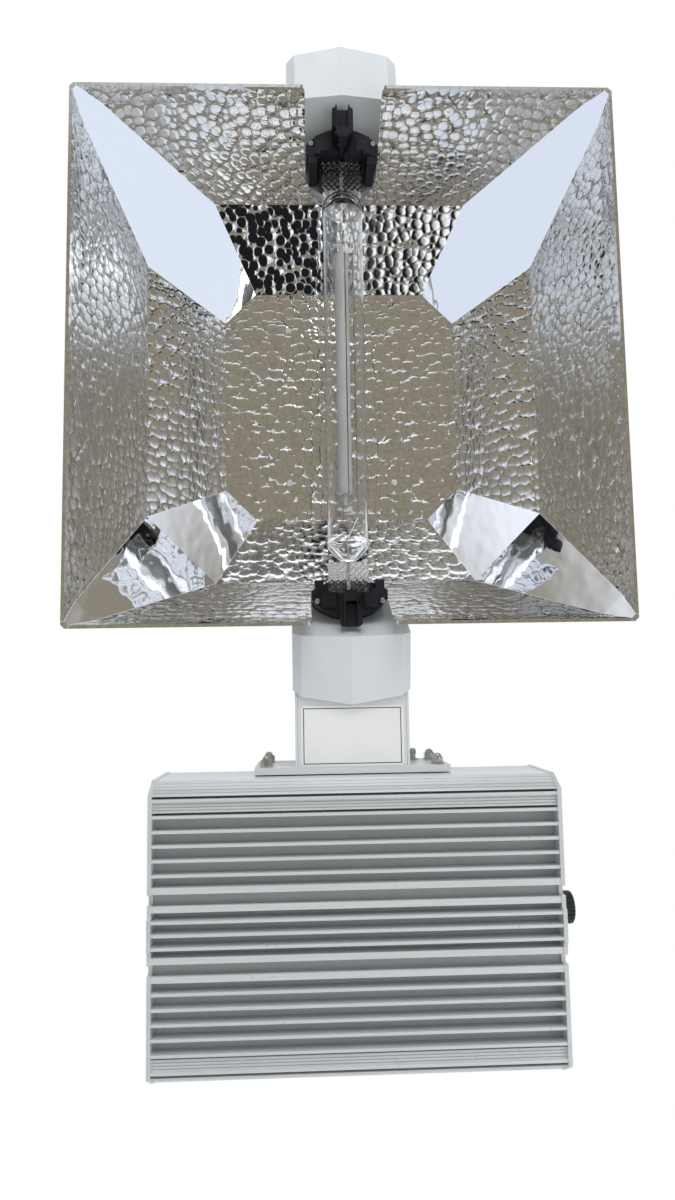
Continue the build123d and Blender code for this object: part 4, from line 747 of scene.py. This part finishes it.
def islands(node_name):
    """Lower and upper corners, in metres, of each separate solid of a node."""
    node = nodes[node_name]
    form = bmesh.new()
    form.from_mesh(node.data)
    form.transform(node.matrix_world)
    bmesh.ops.remove_doubles(form, verts=form.verts, dist=1e-6)
    left = set(form.verts)
    found = []
    while left:
        stack = [left.pop()]
        low = Vector((1e9, 1e9, 1e9))
        high = -low
        while stack:
            vert = stack.pop()
            low = Vector(map(min, low, vert.co))
            high = Vector(map(max, high, vert.co))
            for edge in vert.link_edges:
                other = edge.other_vert(vert)
                if other in left:
                    left.discard(other)
                    stack.append(other)
        found.append((low, high))
    form.free()
    return found


def seat(box, way, height):
    """Where a head of this height has its seat, and the direction it looks."""
    low, high = box
    middle = (low + high) / 2
    way = Vector(way)
    half = abs((high - low) @ way) / 2
    return middle + way * (half - height * MM), tuple(way)


def side_of(box, axis):
    """The sign of a solid's middle along an axis."""
    return 1.0 if (box[0][axis] + box[1][axis]) > 0 else -1.0


def finish_piece(piece, node, body="fixture"):
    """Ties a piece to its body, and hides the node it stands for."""
    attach(piece, body)
    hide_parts(node)


def fit_fasteners():
    """Screws, bolts, nuts and rivets with their recesses, threads and domes."""
    zinc = finish_of_slot["zinc_steel"]
    plates = islands("end_plate_screws")
    heads = set_out(
        "cross_screws_of_end_plates",
        cross_head("plate_screw", radius=3.2, height=2.1, reach=12.0),
        [seat(box, (side_of(box, 0), 0, 0), height=2.2) for box in plates],
        zinc,
    )
    finish_piece(heads, "end_plate_screws")
    nuts = set_out(
        "cap_nuts_of_flange",
        cap_nut_bolt(
            "flange_nut",
            washer=5.4,
            washer_thickness=1.2,
            flats=8.5,
            nut_height=4.5,
            dome=3.5,
            shank=2.9,
            reach=12.8,
        ),
        [seat(box, (0, -1, 0), height=8.9) for box in islands("flange_bolts")],
        zinc,
        seed=9,
    )
    finish_piece(nuts, "flange_bolts")
    rivets = set_out(
        "domed_rivets_of_panel",
        rivet_head("panel_rivet", radius=3.0, height=1.2, shank=1.55, reach=3.0),
        [seat(box, (0, 0, -1), height=1.2) for box in islands("reflector_rivets")],
        finish_of_slot["anodised"],
    )
    finish_piece(rivets, "reflector_rivets")
    thumbs = set_out(
        "knurled_thumb_screws",
        knurled_head("thumb_screw", radius=6.0, height=7.0, shank=1.9, reach=6.0),
        [seat(box, (side_of(box, 0), 0, 0), height=7.0) for box in islands("reflector_thumb_screws")],
        zinc,
    )
    finish_piece(thumbs, "reflector_thumb_screws")


EAR_SCREW_OVER = 0.02


def fit_holder_screws():
    """The three kinds of screw around the lampholders, each kind as a piece."""
    zinc = finish_of_slot["zinc_steel"]
    side, ear, mount = [], [], []
    for box in islands("holder_screws"):
        size = box[1] - box[0]
        if size.x > size.z:
            side.append(seat(box, (side_of(box, 0), 0, 0), height=2.4))
        elif size.z > EAR_SCREW_OVER:
            ear.append(seat(box, (0, 0, -1), height=1.6))
        else:
            mount.append(seat(box, (0, 0, 1), height=1.6))
    for name, head, places in (
        ("cross_screws_of_bracket", cross_head("bracket_screw", radius=3.6, height=2.3, reach=7.0), side),
        ("cross_screws_of_ears", cross_head("ear_screw", radius=2.2, height=1.5, reach=27.0), ear),
        ("cross_screws_of_mount", cross_head("mount_screw", radius=2.2, height=1.5, reach=9.0), mount),
    ):
        if places:
            finish_piece(set_out(name, head, places, zinc), "holder_screws")


def fit_knob():
    """The dimmer knob: a skirt, a ring of rounded grips and a dished cap with a raised pointer line."""
    low, high = islands("dimmer_knob")[0]
    middle = (low + high) / 2
    depth = (high.x - low.x) / MM
    radius = (high.z - low.z) / 2 / MM
    grips = 24

    def gripped(share):
        """A ring of rounded grips at a share of the knob's radius."""

        def reach(angle):
            """Radius at an angle."""
            turn = math.cos(grips * angle / 2)
            wave = max(0.0, turn) ** 6 + max(0.0, -turn) ** 6
            return radius * share * (1 - 0.055 * wave)

        return reach

    rings = [(0.0, radius * 0.97), (0.3, radius), (2.2, radius), (2.8, radius * 0.965)]
    rings += [(3.2, gripped(0.965)), (depth * 0.55, gripped(0.945)), (depth - 2.2, gripped(0.925))]
    rings += [(depth - 1.2, gripped(0.90)), (depth - 0.4, radius * 0.80), (depth, radius * 0.70)]
    rings += [(depth - 0.5, radius * 0.62), (depth - 0.8, radius * 0.3), (depth - 0.9, radius * 0.02)]
    body = ring_mesh("knob_body", rings, segments=288)
    turned = Matrix.Translation((low.x, middle.y, middle.z)) @ Matrix.Rotation(math.pi / 2, 4, "Y")
    body.data.transform(turned)
    line = ring_mesh("knob_line", [(-0.2, 0.5), (0.35, 0.5), (0.45, 0.38)], segments=24)
    longer = 5.0
    line.data.transform(Matrix.Scale(longer, 4, (1, 0, 0)))
    line_place = Matrix.Translation((high.x - 0.6 * MM, middle.y, middle.z + radius * 0.46 * MM))
    line.data.transform(line_place @ Matrix.Rotation(math.pi / 2, 4, "Y"))
    knob = joined("dimmer_grip", [body, line])
    bpy.context.scene.collection.objects.link(knob)
    give(knob, finish_of_slot["black_plastic"])
    finish_piece(knob, "dimmer_knob", "dimmer")


# ======== studio ========
SOFTBOXES = [
    # direction to the light, colour, inner and outer half angle in degrees
    ((0.0, -0.90, -0.42), (1.05, 1.10, 1.20), 16.0, 36.0),
    ((0.78, 0.36, -0.50), (0.78, 0.85, 0.97), 18.0, 40.0),
    ((-0.74, 0.40, -0.54), (0.74, 0.81, 0.94), 18.0, 40.0),
    ((0.30, 0.66, -0.70), (1.0, 1.03, 1.08), 8.0, 14.0),
    ((0.0, 0.2, 1.0), (0.9, 0.92, 0.95), 40.0, 80.0),
]
SHADES = [
    ((-0.16, 0.72, -0.68), (0.012, 0.013, 0.016), 14.0, 20.0),
    ((-0.62, -0.60, -0.50), (0.03, 0.03, 0.03), 5.0, 9.0),
    ((0.66, -0.55, -0.52), (0.04, 0.04, 0.04), 4.0, 8.0),
]
CEILING = (0.27, 0.245, 0.195, 1.0)
WHITE = (1.0, 1.0, 1.0, 1.0)


def light_world():
    """A white background, and around it a room of soft boxes for what the metal reflects."""
    world = bpy.data.worlds.new("studio")
    bpy.context.scene.world = world
    world.use_nodes = True
    world.node_tree.nodes.clear()
    tree = Tree(world.node_tree)
    direction = tree.add("ShaderNodeTexCoord").outputs["Generated"]
    color = CEILING
    for where, tone, inner, outer in SOFTBOXES + SHADES:
        aim = tree.vector("DOT_PRODUCT", direction, tuple(Vector(where).normalized()))
        share = tree.ramp(aim, math.cos(math.radians(outer)), math.cos(math.radians(inner)))
        color = tree.blend(share, color, (*tone, 1.0))
    around = tree.add("ShaderNodeBackground", {"Color": color, "Strength": 1.0})
    behind = tree.add("ShaderNodeBackground", {"Color": WHITE, "Strength": 1.0})
    seen = tree.add("ShaderNodeLightPath").outputs["Is Camera Ray"]
    mixed = tree.add("ShaderNodeMixShader", {0: seen, 1: around.outputs[0], 2: behind.outputs[0]})
    tree.add("ShaderNodeOutputWorld", {"Surface": mixed.outputs[0]})


def area_light(name, place, aim, size, power, color):
    """A soft rectangular light that the camera and the reflections don't see."""
    data = bpy.data.lights.new(name, "AREA")
    data.shape = "RECTANGLE"
    data.size, data.size_y = size
    data.energy = power
    data.color = color
    lamp = bpy.data.objects.new(name, data)
    bpy.context.scene.collection.objects.link(lamp)
    lamp.location = place
    lamp.rotation_euler = (Vector(aim) - Vector(place)).to_track_quat("-Z", "Y").to_euler()
    lamp.visible_camera = False
    lamp.visible_glossy = False


def build_floor():
    """A plain pale floor, far under the hanging lamp."""
    half = 6.0
    height = -1.7
    mesh = bpy.data.meshes.new("floor")
    corners = [(-half, -half, height), (half, -half, height), (half, half, height), (-half, half, height)]
    mesh.from_pydata(corners, [], [(0, 1, 2, 3)])
    floor = bpy.data.objects.new("floor", mesh)
    bpy.context.scene.collection.objects.link(floor)
    finish = Finish("pale_floor", (0.80, 0.80, 0.79), 0.7)
    give(floor, finish.material)
    floor.visible_glossy = False
    floor.visible_transmission = False


place_camera()
light_world()
area_light(
    "window",
    place=(0.2, -1.6, -1.3),
    aim=(0, 0.1, 0),
    size=(1.6, 1.2),
    power=21.0,
    color=(0.94, 0.97, 1.0),
)
area_light(
    "fill",
    place=(1.3, 0.9, -1.4),
    aim=(0, 0.25, 0),
    size=(1.4, 1.4),
    power=11.0,
    color=(0.97, 0.98, 1.0),
)
build_floor()
dress_nodes()
fit_fasteners()
fit_holder_screws()
fit_knob()
bpy.context.scene.view_settings.view_transform = "Standard"
bpy.context.scene.view_settings.look = "None"
